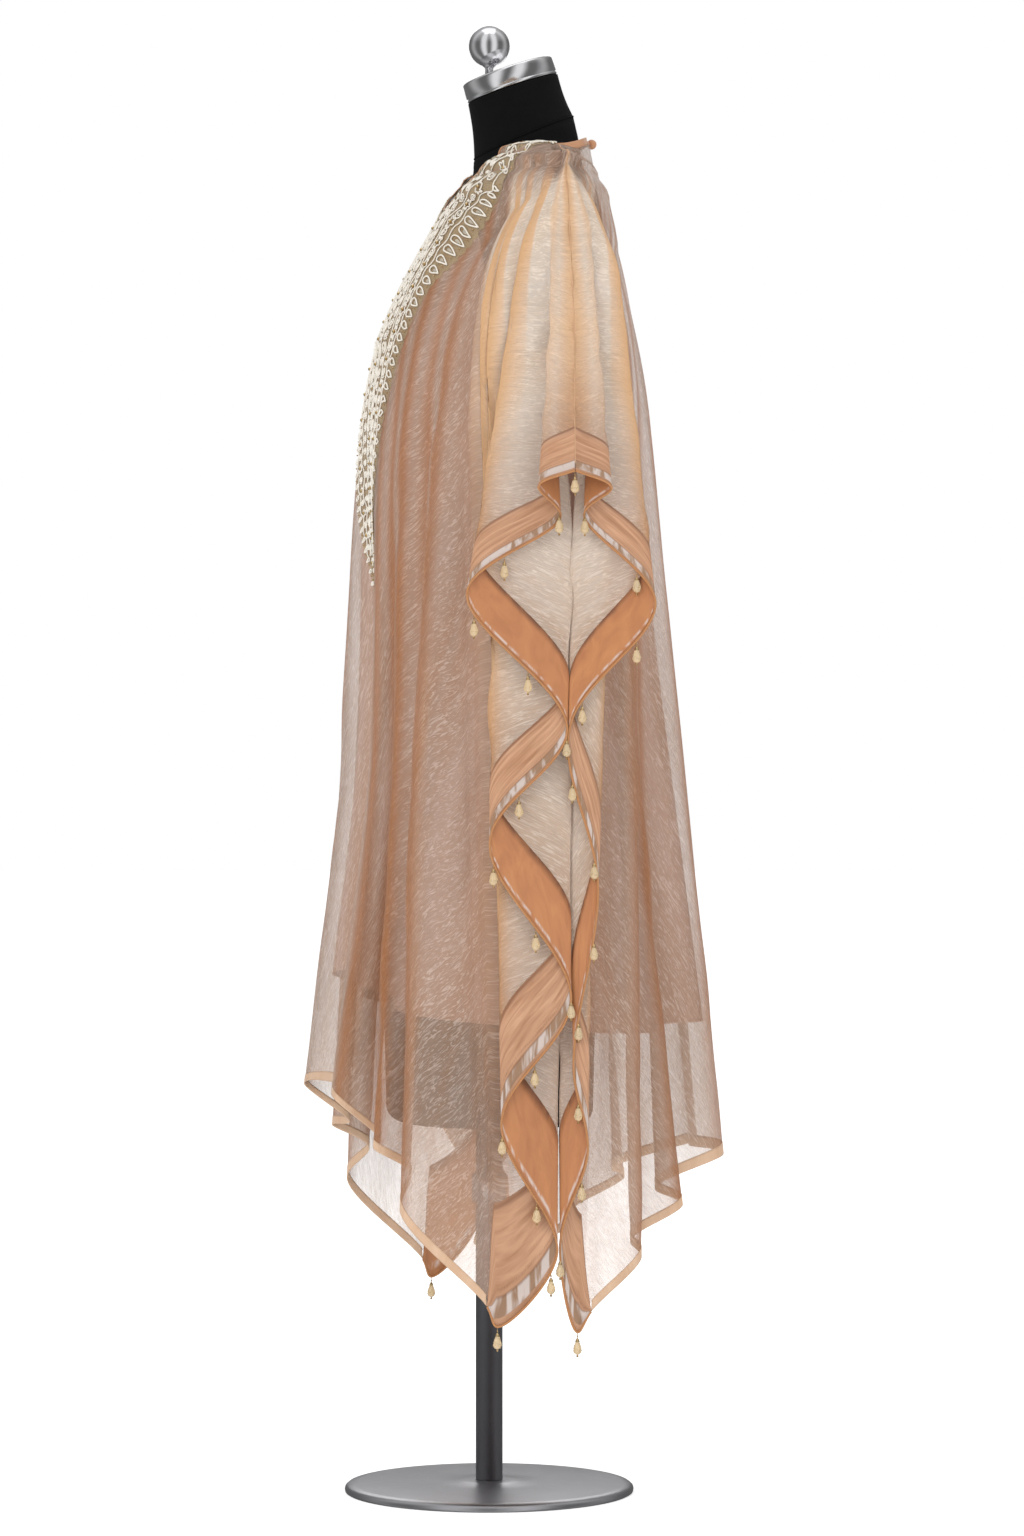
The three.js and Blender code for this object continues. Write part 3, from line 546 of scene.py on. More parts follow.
def make_streaks():
    """Fine wavy streaks: noise stretched along the cloth, cut to a soft mask."""
    tree, into, out = new_group("cloth_streaks", {"Across": 300.0, "Along": 30.0, "Bend": 0.6, "Low": 0.35,
                                                  "High": 0.7}, ("Mask", "Raw"))
    scale = add_node(tree, "ShaderNodeCombineXYZ", {"X": into["Across"], "Y": into["Along"]}).outputs[0]
    place = add_node(tree, "ShaderNodeVectorMath", {0: into["Vector"], 1: scale},
                     operation="MULTIPLY").outputs[0]
    noise = add_node(tree, "ShaderNodeTexNoise", {"Scale": 1.0, "Detail": 3.0, "Roughness": 0.55,
                                                  "Vector": place, "Distortion": into["Bend"]}).outputs["Fac"]
    ranged = add_node(tree, "ShaderNodeMapRange",
                      {"Value": noise, "From Min": into["Low"], "From Max": into["High"]}).outputs[0]
    tree.links.new(ranged, out["Mask"])
    tree.links.new(noise, out["Raw"])
    return tree


def make_weave():
    """Over-and-under weave: one half, plus half the product of a sine wave across and one down."""
    tree, into, out = new_group("plain_weave", {"Threads": 1500.0}, ("Height",))
    parts = add_node(tree, "ShaderNodeSeparateXYZ", {0: into["Vector"]}).outputs
    waves = [math_node(tree, "SINE", times(tree, parts[axis], into["Threads"])) for axis in (0, 1)]
    tree.links.new(math_node(tree, "MULTIPLY_ADD", times(tree, *waves), 0.5, 0.5), out["Height"])
    return tree


def make_wear():
    """Cloudy variation: the mean of a noise and of one nine times finer, around one half."""
    tree, into, out = new_group("surface_wear", {"Scale": 20.0}, ("Cloud",))
    finer = times(tree, into["Scale"], 9.0)
    large, small = [add_node(tree, "ShaderNodeTexNoise",
                             {"Detail": detail, "Vector": into["Vector"], "Scale": scale})
                    for detail, scale in ((3.0, into["Scale"]), (2.0, finer))]
    total = math_node(tree, "ADD", large.outputs["Fac"], small.outputs["Fac"])
    tree.links.new(times(tree, total, 0.5), out["Cloud"])
    return tree


STREAKS = make_streaks()
WEAVE = make_weave()
WEAR = make_wear()


def use_streaks(tree, vector, across, along, bend, low, high):
    """Mask and raw height of the shared streaks, at a scale across the vector and along it."""
    node = add_node(tree, "ShaderNodeGroup", node_tree=STREAKS)
    for socket, value in zip(node.inputs[1:], (across, along, bend, low, high)):
        socket.default_value = value
    tree.links.new(vector, node.inputs["Vector"])
    return node.outputs["Mask"], node.outputs["Raw"]


def use_weave(tree, vector, threads):
    """Height of the shared weave at a number of threads."""
    return add_node(tree, "ShaderNodeGroup", {"Vector": vector, "Threads": threads},
                    node_tree=WEAVE).outputs[0]


def use_wear(tree, vector, scale):
    """Value of the shared clouds at a scale."""
    return add_node(tree, "ShaderNodeGroup", {"Vector": vector, "Scale": scale}, node_tree=WEAR).outputs[0]


def mix_colour(tree, share, first, second):
    """Colour between two, each a socket or plain linear values, by a share from 0 to 1."""
    ends = [(*value, 1) if isinstance(value, tuple) else value for value in (first, second)]
    node = add_node(tree, "ShaderNodeMix", {"Factor": share, 6: ends[0], 7: ends[1]}, data_type="RGBA")
    return node.outputs[2]


def tint(tree, mask, share, first, second):
    """The first colour moved toward the second by a share of the mask."""
    return mix_colour(tree, times(tree, mask, share), first, second)


def input_name(key):
    """The shader's name for an input, from a lower-case key."""
    return key.replace("_", " ").title().replace("Ior", "IOR")


def new_material(name, **plain):
    """A material with one Principled shader whose plain socket values are given by name."""
    material = bpy.data.materials.new(name)
    material.use_nodes = True
    tree = material.node_tree
    shader = tree.nodes["Principled BSDF"]
    for key, value in plain.items():
        shader.inputs[input_name(key)].default_value = value
    return material, tree, shader


def feed(tree, shader, **sources):
    """Links sockets to the shader's inputs of these names."""
    for key, source in sources.items():
        tree.links.new(source, shader.inputs[input_name(key)])


def add_bump(tree, shader, *layers):
    """Chains bumps, each a height socket with its strength and its depth in metres."""
    inputs = {}
    for height, strength, distance in layers:
        inputs.update({"Strength": strength, "Distance": distance, "Height": height})
        inputs["Normal"] = add_node(tree, "ShaderNodeBump", inputs).outputs["Normal"]
    feed(tree, shader, normal=inputs["Normal"])


def flat_uv(tree):
    """Place on the flat cloth: metres across and down."""
    return add_node(tree, "ShaderNodeUVMap", uv_map="flat").outputs[0]


def object_place(tree):
    """Place in the object's own space, in metres."""
    return add_node(tree, "ShaderNodeTexCoord").outputs["Object"]


def attribute(tree, name):
    """A value stored at the mesh's points."""
    return add_node(tree, "ShaderNodeAttribute", attribute_name=name).outputs["Fac"]


def near_line(tree, value, centre, reach):
    """1 on a line of the given value, falling to 0 at the reach on each side of it."""
    away = math_node(tree, "ABSOLUTE", math_node(tree, "SUBTRACT", value, centre))
    return add_node(tree, "ShaderNodeMapRange", {"From Min": 0.0, "From Max": reach, "To Min": 1.0,
                                                 "To Max": 0.0, "Value": away},
                    interpolation_type="SMOOTHSTEP").outputs[0]


def scaled_sum(tree, start, *parts):
    """A plain number plus sockets, each times its own factor, held between 0 and 1."""
    total = start
    for k, (socket, factor) in enumerate(parts):
        total = math_node(tree, "ADD", times(tree, socket, factor), total, clamp=k == len(parts) - 1)
    return total


def make_sheer():
    """Crinkled gauze: pinkish beige on the body and cream on the wings, the wings painted lighter for
    light shining through them; long broad patches of painted soft shade; slanting crinkles of painted
    shade and painted highlight; warm gold along folds, partly denser cloth and partly painted fold
    shade; denser on the wings and folds than between them."""
    material, tree, shader = new_material("sheer_gauze", roughness=0.6, sheen_weight=0.12,
                                          specular_ior_level=0.3)
    uv = flat_uv(tree)
    fold = attribute(tree, "fold")
    wing = attribute(tree, "wing")
    slant = add_node(tree, "ShaderNodeVectorRotate", {"Vector": uv, "Angle": CRINKLE_SLANT},
                     rotation_type="Z_AXIS").outputs[0]
    fine, fine_raw = use_streaks(tree, slant, 500.0, 44.0, 1.9, 0.43, 0.59)
    crease, crease_raw = use_streaks(tree, slant, 360.0, 46.0, 2.2, 0.50, 0.63)
    broad, broad_raw = use_streaks(tree, uv, 22.0, 2.4, 0.8, 0.36, 0.68)
    # Broad: long broad patches of painted soft shade, darker on the body and gold on the wings.
    body = tint(tree, broad, 0.7, (0.62, 0.46, 0.37), (0.42, 0.235, 0.13))
    pale = tint(tree, broad, 0.5, (0.88, 0.79, 0.71), (0.66, 0.47, 0.31))
    # dim and bright are the painted crinkle shade and painted crinkle highlight colours; warm is the gold of
    # the painted fold shade.
    dim = mix_colour(tree, wing, (0.36, 0.21, 0.13), (0.74, 0.60, 0.47))
    bright = mix_colour(tree, wing, (0.78, 0.66, 0.58), (0.86, 0.77, 0.68))
    warm = mix_colour(tree, wing, (0.34, 0.125, 0.035), (0.58, 0.32, 0.14))
    # Wings: a lighter cream painted for light shining through them.
    colour = mix_colour(tree, wing, body, pale)
    # Painted crinkle shade along the fine streaks, painted crinkle highlight along the creases.
    colour = tint(tree, fine, 0.46, colour, dim)
    colour = tint(tree, crease, 0.5, colour, bright)
    # Painted fold shade: warm gold along the folds, partly denser cloth there.
    colour = tint(tree, fold, 0.9, colour, warm)
    cover = scaled_sum(tree, 0.42, (fine, 0.10), (crease, 0.12), (fold, 0.3), (broad, 0.10), (wing, 0.2))
    feed(tree, shader, base_color=colour, alpha=cover)
    add_bump(tree, shader, (broad_raw, 0.3, 0.0035), (crease_raw, 0.6, 0.0022), (fine_raw, 0.5, 0.0012),
             (use_weave(tree, uv, 5200.0), 0.2, 0.0002))
    return material


def make_satin(name, colour, shade, roughness, along=6.0):
    """Satin: a smooth face with long faint streaks and a fine twill."""
    material, tree, shader = new_material(name, roughness=roughness, sheen_weight=0.15, coat_weight=0.1,
                                          coat_roughness=0.35)
    uv = flat_uv(tree)
    streak, raw = use_streaks(tree, uv, 60.0, along, 0.6, 0.3, 0.72)
    feed(tree, shader, base_color=tint(tree, streak, 0.7, colour, shade),
         roughness=scaled_sum(tree, roughness - 0.12, (use_wear(tree, uv, 9.0), 0.24)))
    add_bump(tree, shader, (raw, 0.35, 0.004), (use_weave(tree, uv, 6800.0), 0.2, 0.00015))
    return material


def band_places(tree):
    """Place on a band: along it in metres, its share of the width, and both in metres."""
    uv = flat_uv(tree)
    parts = add_node(tree, "ShaderNodeSeparateXYZ", {0: uv}).outputs
    metres = add_node(tree, "ShaderNodeVectorMath", {0: uv, 1: (1.0, BAND_WIDTH * MM, 1.0)},
                      operation="MULTIPLY")
    return parts["X"], parts["Y"], metres.outputs[0]


def make_band():
    """Outer side of the band, by its share of the width: satin between two dark stitched lines,
    then a silvery stripe up to the piping."""
    material, tree, shader = new_material("band_satin", roughness=0.38, sheen_weight=0.12, coat_weight=0.15,
                                          coat_roughness=0.3)
    along, width, metres = band_places(tree)
    stripe = times(tree, math_node(tree, "GREATER_THAN", width, SATIN_SHARE),
                   math_node(tree, "LESS_THAN", width, STRIPE_SHARE))
    streak, streak_raw = use_streaks(tree, metres, 18.0, 420.0, 0.6, 0.3, 0.7)
    patch, patch_raw = use_streaks(tree, metres, 80.0, 60.0, 0.4, 0.44, 0.56)
    satin = mix_colour(tree, streak, (0.57, 0.32, 0.19), (0.36, 0.17, 0.085))
    silver = mix_colour(tree, patch, (0.62, 0.52, 0.47), (0.34, 0.20, 0.12))
    colour = mix_colour(tree, stripe, satin, silver)
    colour = tint(tree, near_line(tree, width, 0.03, 0.05), 0.75, colour, (0.24, 0.10, 0.045))
    colour = tint(tree, near_line(tree, width, SATIN_SHARE, 0.03), 0.6, colour, (0.22, 0.10, 0.05))
    feed(tree, shader, base_color=colour, metallic=times(tree, stripe, 0.25))
    stitches = math_node(tree, "SINE", times(tree, along, 2 * math.pi / STITCH))
    line = times(tree, near_line(tree, width, SATIN_SHARE - 0.06, 0.02), stitches)
    add_bump(tree, shader, (streak_raw, 0.3, 0.001), (patch_raw, 0.4, 0.0012), (line, 0.6, 0.0006),
             (use_weave(tree, metres, 6200.0), 0.2, 0.00015))
    return material


def make_band_back():
    """Inner side of the band: plain warm satin with soft patches, darker along its inner edge, where
    a line of stitches pulls it in: partly a dark edge and partly blotches of painted shade; a pale
    greyish line runs near the outer edge."""
    material, tree, shader = new_material("band_facing", roughness=0.42, sheen_weight=0.1, coat_weight=0.1,
                                          coat_roughness=0.35)
    _, width, metres = band_places(tree)
    patch, patch_raw = use_streaks(tree, metres, 30.0, 55.0, 1.2, 0.3, 0.7)
    blotch, _ = use_streaks(tree, metres, 70.0, 120.0, 0.8, 0.42, 0.56)
    colour = mix_colour(tree, patch, (0.50, 0.21, 0.08), (0.40, 0.155, 0.06))
    # Painted shade: blotchy darkening along the inner edge, where the stitches pull the satin in.
    edge = times(tree, near_line(tree, width, 0.0, 0.16), scaled_sum(tree, 0.45, (blotch, 0.5)))
    colour = mix_colour(tree, edge, colour, (0.20, 0.08, 0.04))
    rim = times(tree, near_line(tree, width, 0.9, 0.05), blotch)
    feed(tree, shader, base_color=tint(tree, rim, 0.85, colour, (0.60, 0.50, 0.45)))
    add_bump(tree, shader, (patch_raw, 0.3, 0.003), (near_line(tree, width, 0.93, 0.03), 0.5, 0.0005),
             (use_weave(tree, metres, 6200.0), 0.15, 0.00015))
    return material


def make_net():
    """Fine beige net under the embroidery: threads both ways with small open holes."""
    material, tree, shader = new_material("embroidery_net", roughness=0.7, sheen_weight=0.15)
    uv = flat_uv(tree)
    weave = use_weave(tree, uv, 3000.0)
    cloud = use_wear(tree, uv, 60.0)
    feed(tree, shader, base_color=mix_colour(tree, cloud, (0.56, 0.43, 0.25), (0.33, 0.23, 0.11)),
         alpha=scaled_sum(tree, 0.42, (weave, 0.35)))
    add_bump(tree, shader, (weave, 0.4, 0.0004), (cloud, 0.3, 0.002))
    return material


def make_plain(name, colour, second, scale, **plain):
    """Hard or thread finish: two close colours in cloudy patches, with the clouds as fine relief,
    and a roughness of the plain value less 0.06 plus 0.12 times the cloud."""
    material, tree, shader = new_material(name, **plain)
    cloud = use_wear(tree, object_place(tree), scale)
    feed(tree, shader, base_color=mix_colour(tree, cloud, colour, second),
         roughness=math_node(tree, "MULTIPLY_ADD", cloud, 0.12, plain["roughness"] - 0.06))
    add_bump(tree, shader, (cloud, 0.15, 0.0006))
    return material


def make_jersey():
    """Black stretch jersey: knit ribs as fine relief with a faint dusty bloom."""
    material, tree, shader = new_material("black_jersey", roughness=0.85, sheen_weight=0.01,
                                          specular_ior_level=0.12)
    bloom = use_wear(tree, object_place(tree), 6.0)
    feed(tree, shader, base_color=mix_colour(tree, bloom, (0.002, 0.002, 0.0022), (0.005, 0.005, 0.0055)))
    add_bump(tree, shader, (use_weave(tree, flat_uv(tree), 3600.0), 0.5, 0.0004), (bloom, 0.1, 0.001))
    return material


def make_brushed():
    """Brushed steel: two greys in soft streaks, its roughness 0.24 plus 0.2 times the clouds."""
    material, tree, shader = new_material("brushed_stand", roughness=0.34, metallic=1.0)
    place = object_place(tree)
    scratch, _ = use_streaks(tree, place, 8.0, 8.0, 0.2, 0.2, 0.8)
    feed(tree, shader, base_color=mix_colour(tree, scratch, (0.50, 0.50, 0.52), (0.38, 0.38, 0.40)),
         roughness=math_node(tree, "MULTIPLY_ADD", use_wear(tree, place, 14.0), 0.2, 0.24))
    return material


SHEER = make_sheer()
BAND = make_band()
BAND_BACK = make_band_back()
TRIM = make_satin("trim_satin", (0.56, 0.28, 0.14), (0.44, 0.20, 0.09), 0.4)
HEM = make_satin("hem_satin", (0.66, 0.45, 0.30), (0.54, 0.33, 0.20), 0.45)
SLIP = make_satin("slip_satin", (0.66, 0.42, 0.33), (0.50, 0.28, 0.20), 0.42, along=4.0)
NET = make_net()
PIPING = make_plain("piping_cord", (0.52, 0.24, 0.09), (0.36, 0.15, 0.05), 300.0, roughness=0.45,
                    sheen_weight=0.1)
TRIM_CORD = make_plain("seam_cord", (0.62, 0.38, 0.22), (0.48, 0.27, 0.15), 300.0, roughness=0.5,
                       sheen_weight=0.1)
IVORY = make_plain("ivory_cord", (0.90, 0.87, 0.82), (0.72, 0.65, 0.53), 400.0, roughness=0.5,
                   sheen_weight=0.2)
SILVER = make_plain("silver_thread", (0.72, 0.66, 0.56), (0.42, 0.35, 0.26), 500.0, roughness=0.4,
                    metallic=0.35)
GOLD = make_plain("gold_bead", (0.88, 0.68, 0.38), (0.66, 0.44, 0.20), 300.0, roughness=0.25, metallic=1.0)
GLASS = make_plain("champagne_glass", (0.86, 0.70, 0.46), (0.72, 0.52, 0.28), 60.0, roughness=0.14,
                   transmission_weight=0.35, coat_weight=0.5)
JERSEY = make_jersey()
CHROME = make_plain("polished_cap", (0.74, 0.74, 0.75), (0.66, 0.66, 0.68), 12.0, roughness=0.16,
                    metallic=1.0)
STEEL = make_brushed()

front = FoldedPanel(FRONT_FOLDS, FRONT_NECK, FRONT_NECK_DROP, -1)
back = FoldedPanel(BACK_FOLDS, BACK_NECK, BACK_NECK_DROP, 1)


# ---- kaftan ----
# How dense the cloth is along each fold line and how strongly its warm gold painted fold shade shows, centre
# to shoulder seam.
FOLD_DENSITY_AND_SHADE = np.array([0.5, 0.9, 0.95, 1.0, 0.8, 0.9, 0.3, 0.5, 0.3, 1.0, 0.2, 1.0, 0.2, 1.0, 0.1, 0.6, 0.9])


def fold_density_and_shade(panel, u, v, points):
    """How near a point is to a fold line, by the distance to it over a reach that grows down the
    line, times the line's weight of denser cloth and painted fold shade, fading in below the shoulder."""
    line = panel.surface(np.round(u), v)
    away = np.linalg.norm(points - line, axis=-1)
    wide = np.where(np.abs(u) > FOOT, 1.9, 1.0)
    near = np.exp(-((away / (wide * (8.0 + 7.0 * v))) ** 2))
    fold_line_shade_weight = np.interp(np.abs(np.round(u)), np.arange(len(FOLD_DENSITY_AND_SHADE)), FOLD_DENSITY_AND_SHADE)
    return near * fold_line_shade_weight * np.clip((v - 0.02) / 0.16, 0, 1)


def build_panel(name, panel, node, neck_trim):
    """Sheer panel from its neck trim and shoulder seam to its bands and hem, with ripples that
    fade where it rests on the form."""
    columns = np.linspace(-panel.middle, panel.middle, panel.middle * 2 * 13 + 1)
    rows = np.linspace(0, 1, 96) ** 1.08
    start = panel.trim_end(columns, neck_trim)
    end = panel.panel_end(columns)
    v = start + (end - start) * rows[:, None]
    u = np.broadcast_to(columns, v.shape)
    # Fold mask: denser cloth and painted warm fold shade along the fold lines.
    mask = fold_density_and_shade(panel, u, v, panel.surface(u, v))
    points, flat = panel.cloth(u, v)
    # Wing mask: where the sheer is painted a lighter cream for light shining through the wings, and drawn
    # denser; it fades in below the shoulder and partly out toward the hem.
    wing = np.clip((np.abs(u) - FOOT - 0.4) / 1.6, 0, 1) * np.clip((v - 0.07) / 0.12, 0, 1)
    wing = wing * (1 - 0.6 * np.clip((v - 0.68) / 0.25, 0, 1))
    values = {"fold": mask, "wing": wing * wing * (3 - 2 * wing)}
    piece = grids_mesh(name, points[None], flat[None], flip=panel.side < 0, values=values)
    return finish_piece(piece, SHEER, "sheer_cloth", node)


def build_band(name, panel, sign, node):
    """Satin side band with its silvery stripe, a thin wall with a facing, then a piping cord."""
    columns = np.linspace(FOOT + 0.02, panel.middle, 420) * sign
    if sign < 0:
        columns = columns[::-1]
    start = panel.band_start(columns)
    width = np.linspace(0, 1, 7)[:, None]
    v = start + (1 - start) * width
    points = panel.surface(np.broadcast_to(columns, v.shape), v) * MM
    uv = pairs(distance_along(points[-1])[None, :], width)
    piece = grids_mesh(name, points[None], uv[None], flip=panel.side < 0)
    finish_piece(piece, BAND, "band_satin", node)
    piece.data.materials.append(BAND_BACK)
    add_wall(piece, BAND_WALL).material_offset = 1
    cord = grids_mesh(name + "_piping", tubes(points[-1:], PIPING_RADIUS * MM, 8))
    finish_piece(cord, PIPING, "band_satin")
    return [piece, cord]


def build_strip(name, panel, limit, start, end, node, material):
    """Narrow trim round the neck or along the hem, a thin wall between two shares of each line."""
    columns = np.linspace(-limit, limit, 260)
    low, high = start(columns), end(columns)
    v = low + (high - low) * np.linspace(0, 1, 5)[:, None]
    u = np.broadcast_to(columns, v.shape)
    grid = panel.surface(u, v) * MM
    piece = grids_mesh(name, grid[None], panel.flat_place(u, v)[None], flip=panel.side < 0)
    add_wall(piece, TRIM_WALL)
    return finish_piece(piece, material, "band_satin", node)


for label, panel, neck_width in (("front", front, NECK_PIPING), ("back", back, NECK_BAND)):
    neck_limit = int(np.sum(panel.in_neck) - 1) / 2
    cloth = build_panel(f"sheer_{label}", panel, f"{label}_panel", neck_width)
    extras = []
    for hand, sign in (("left", 1), ("right", -1)):
        extras += build_band(f"band_{label}_{hand}", panel, sign, f"{label}_edge_band_{hand}")
    extras.append(build_strip(f"hem_{label}", panel, FOOT, panel.hem_start, np.ones_like,
                              f"{label}_hem_binding", HEM))
    extras.append(build_strip(f"neck_{label}", panel, neck_limit, np.zeros_like,
                              lambda c, p=panel, w=neck_width: p.trim_end(c, w), f"{label}_neck_trim", TRIM))


def build_seam(name, sign):
    """Shoulder seam from the neck corner to the shoulder and down the crest of the wing: a slim
    rounded cord between the two panels."""
    along = np.concatenate([np.linspace(5, front.middle, 90), np.full(90, front.middle)])
    down = np.concatenate([np.zeros(90), np.linspace(0.004, 0.985, 90)])
    u = along * sign
    path = (front.surface(u, down) + back.surface(u, down)) / 2 * MM
    path[:, 2] += 0.3 * MM
    return finish_piece(grids_mesh(name, tubes(path[None], SEAM_RADIUS * MM, 8)), TRIM_CORD, "band_satin")


build_seam("seam_left", 1)
build_seam("seam_right", -1)


# ---- embroidery on the front ----
# Outer boundary of the embroidered part on the flat cloth, from the shoulder seam to its tail.
YOKE_EDGE = np.array([(100, 1), (109, 36), (111, 72), (108, 110), (104, 150), (99, 190), (90, 230), (78, 280),
                      (68, 325), (58, 368), (44, 412), (31, 452), (20, 487), (9, 514), (3, 530)], float)
CORD_LIFT = 1.0
NET_LIFT = 0.45
YOKE_STEPS = 500            # points along each of the yoke's two paths
OTHER_SIDE = np.array([-1.0, 1.0])


def yoke_paths():
    """Inner and outer paths of the left half on the flat cloth, each evened to its own length:
    the inner one follows the neckline and then the centre line, the outer one the yoke's edge."""
    turn = np.linspace(math.pi / 2, 0, 120)
    neck = np.stack([84.0 * np.sin(turn), 114.0 * np.cos(turn)], axis=1)
    centre = np.stack([np.zeros(160), np.linspace(116, 526, 160)], axis=1)
    at = np.linspace(0, len(YOKE_EDGE) - 1, 300)
    edge = smooth_path(np.broadcast_to(YOKE_EDGE, (300, *YOKE_EDGE.shape)), at, ACROSS_EVENNESS)
    paths = []
    for path in (np.concatenate([neck, centre]), edge):
        run = distance_along(path)
        paths.append(read_along(np.linspace(0, run[-1], YOKE_STEPS), run, path))
    return paths


YOKE_INNER, YOKE_OUTER = yoke_paths()
YOKE_OUTWARD = YOKE_OUTER - YOKE_INNER


def chain(across, spacing, offset=0.0, least_width=0.0):
    """Places at even spacing along a line that lies a share of the way from the yoke's inner path
    to its outer one. Gives the places, the outward direction there, and the yoke's width."""
    line = YOKE_INNER + YOKE_OUTWARD * across
    run = distance_along(line)
    step = np.arange(YOKE_STEPS)
    share = np.interp(np.arange(offset, run[-1] - 2, spacing), run, step)
    place = read_along(share, step, line)
    toward = read_along(share, step, YOKE_OUTWARD)
    width = np.linalg.norm(toward, axis=1)
    kept = width > least_width
    return place[kept], np.arctan2(toward[kept, 1], toward[kept, 0]), width[kept]


def turned(radius, angle):
    """Flat points at a radius and an angle: (r cos a, r sin a)."""
    return np.stack([radius * np.cos(angle), radius * np.sin(angle)], axis=1)


def full_turn(count):
    """Even angles once round, the first not repeated."""
    return np.linspace(0, 2 * np.pi, count, endpoint=False)


def teardrop(count):
    """Closed outline, round behind and pointed ahead: (cos t, 0.62 sin t |sin t/2|^1.2)."""
    t = full_turn(count)
    return np.stack([np.cos(t), 0.62 * np.sin(t) * np.abs(np.sin(t / 2)) ** 1.2], axis=1)


def leaf(count):
    """Closed outline, pointed at both ends: (cos t, 0.42 sin t |sin t|^0.6)."""
    t = full_turn(count)
    return np.stack([np.cos(t), 0.42 * np.sin(t) * np.abs(np.sin(t)) ** 0.6], axis=1)


def blossom(count):
    """Closed outline of six petals: radius 0.76 + 0.24 cos 6t."""
    t = full_turn(count)
    return turned(0.76 + 0.24 * np.cos(6 * t), t)


def scroll(count):
    """Open spiral of one and three quarter turns: radius 1 - 0.86 t at the angle 3.5 pi t."""
    t = np.linspace(0, 1, count)
    return turned(1 - 0.86 * t, 3.5 * np.pi * t)


def both_sides(strokes):
    """Strokes of the left half, then their mirror images drawn the other way round."""
    return np.concatenate([strokes, strokes[:, ::-1] * OTHER_SIDE])


def alternate(places, even, odd):
    """One value for every second place and another for those between."""
    return np.where(np.arange(len(places)) % 2, odd, even)


def place_motifs(shape, places, angles, sizes):
    """A motif turned, sized and set at each place of the left half, and mirrored to the right."""
    c = np.cos(angles)[:, None]
    s = np.sin(angles)[:, None]
    x = shape[None, :, 0] * c - shape[None, :, 1] * s
    y = shape[None, :, 0] * s + shape[None, :, 1] * c
    points = places[:, None, :] + np.stack([x, y], axis=-1) * sizes[:, None, None]
    return both_sides(points)


def on_front(points, height):
    """Flat places to metre points on the front panel at a height above it, and the normals."""
    u, v = front.from_flat(points[..., 0].ravel(), points[..., 1].ravel())
    height = np.broadcast_to(height, points.shape[:-1]).ravel() * MM
    raised, _ = front.cloth(u, v, height)
    return raised.reshape(*points.shape[:-1], 3), front.normals(u, v).reshape(*points.shape[:-1], 3)


def cords_on_front(name, strokes, radius, material, closed, sides=5):
    """Cords laid along strokes on the front, lifted by their radius."""
    paths, normals = on_front(strokes, radius + CORD_LIFT)
    piece = grids_mesh(name, tubes(paths, radius * MM, sides, normals, closed))
    return finish_piece(piece, material, "embroidery_thread")


def filling(name, outlines, rise):
    """Padded satin stitch inside closed outlines: rings that shrink to the middle and rise by
    1 - r squared."""
    rings = np.array([0.88, 0.62, 0.3, 0.0])
    middle = outlines.mean(axis=1, keepdims=True)
    closed = np.concatenate([outlines, outlines[:, :1]], axis=1)
    spread = (middle + (closed - middle) * rings[:, None, None, None]).transpose(1, 0, 2, 3)
    height = np.broadcast_to((CORD_LIFT - 0.4 + rise * (1 - rings**2))[None, :, None], spread.shape[:3])
    points, _ = on_front(spread, height)
    piece = grids_mesh(name, points)
    normals = np.zeros(len(piece.data.polygons) * 3, np.float32)
    piece.data.polygons.foreach_get("normal", normals)
    if normals[1::3].sum() > 0:
        piece.data.flip_normals()
    return finish_piece(piece, SILVER, "embroidery_thread")


def beads_on_front(name, places, radius):
    """Small round beads set on the cloth's normals: rings of a sphere, eight sides each."""
    centre, normal = on_front(np.concatenate([places, places * OTHER_SIDE]), CORD_LIFT + radius * 0.8)
    side = unit(np.cross(normal, np.array([0.0, 0.0, 1.0])))
    up = np.cross(side, normal)
    ring = np.linspace(0, 2 * np.pi, 9)
    rise = np.linspace(-np.pi / 2, np.pi / 2, 6)
    round_part = np.cos(rise)[:, None, None] * (np.cos(ring)[:, None] * side[:, None, None, :]
                                               + np.sin(ring)[:, None] * up[:, None, None, :])
    axis = np.sin(rise)[:, None, None] * normal[:, None, None, :]
    grid = centre[:, None, None, :] + (round_part + axis) * radius * MM
    return finish_piece(grids_mesh(name, grid), GOLD, "embroidery_thread")


def build_net():
    """Net ground of the embroidery, from its inner path to a scalloped outer edge, whose scallops
    reach out by 1.5 + 2.2 |sin(pi run / 11.5)| mm."""
    share = np.linspace(0, 1, 12)[None, :, None]
    scallop = 1.5 + 2.2 * np.abs(np.sin(np.pi * distance_along(YOKE_OUTER) / 11.5))
    edge = YOKE_OUTER + unit(YOKE_OUTWARD) * scallop[:, None]
    left = YOKE_INNER[:, None] + (edge - YOKE_INNER)[:, None] * share
    both = np.stack([left, left[:, ::-1] * OTHER_SIDE])
    points, _ = on_front(both, NET_LIFT)
    piece = grids_mesh("embroidery_ground", points, both * MM, flip=True)
    return finish_piece(piece, NET, "embroidery_thread", "embroidery_neckline", "embroidery_yoke",
                        "embroidery_placket")


def build_stems():
    """Three waving stems: lines at a share of the yoke's width, each swung by its own wave."""
    stems = []
    for across, wave, length in ((0.78, 2.0, 26.0), (0.50, 3.0, 39.0), (0.20, 1.6, 27.0)):
        line = YOKE_INNER + YOKE_OUTWARD * across
        swing = wave * np.sin(2 * np.pi * distance_along(line) / length)
        stems.append((line + unit(YOKE_OUTWARD) * swing[:, None])[8:470:2])
    cords_on_front("stems", both_sides(np.stack(stems)), 0.7, IVORY, False)


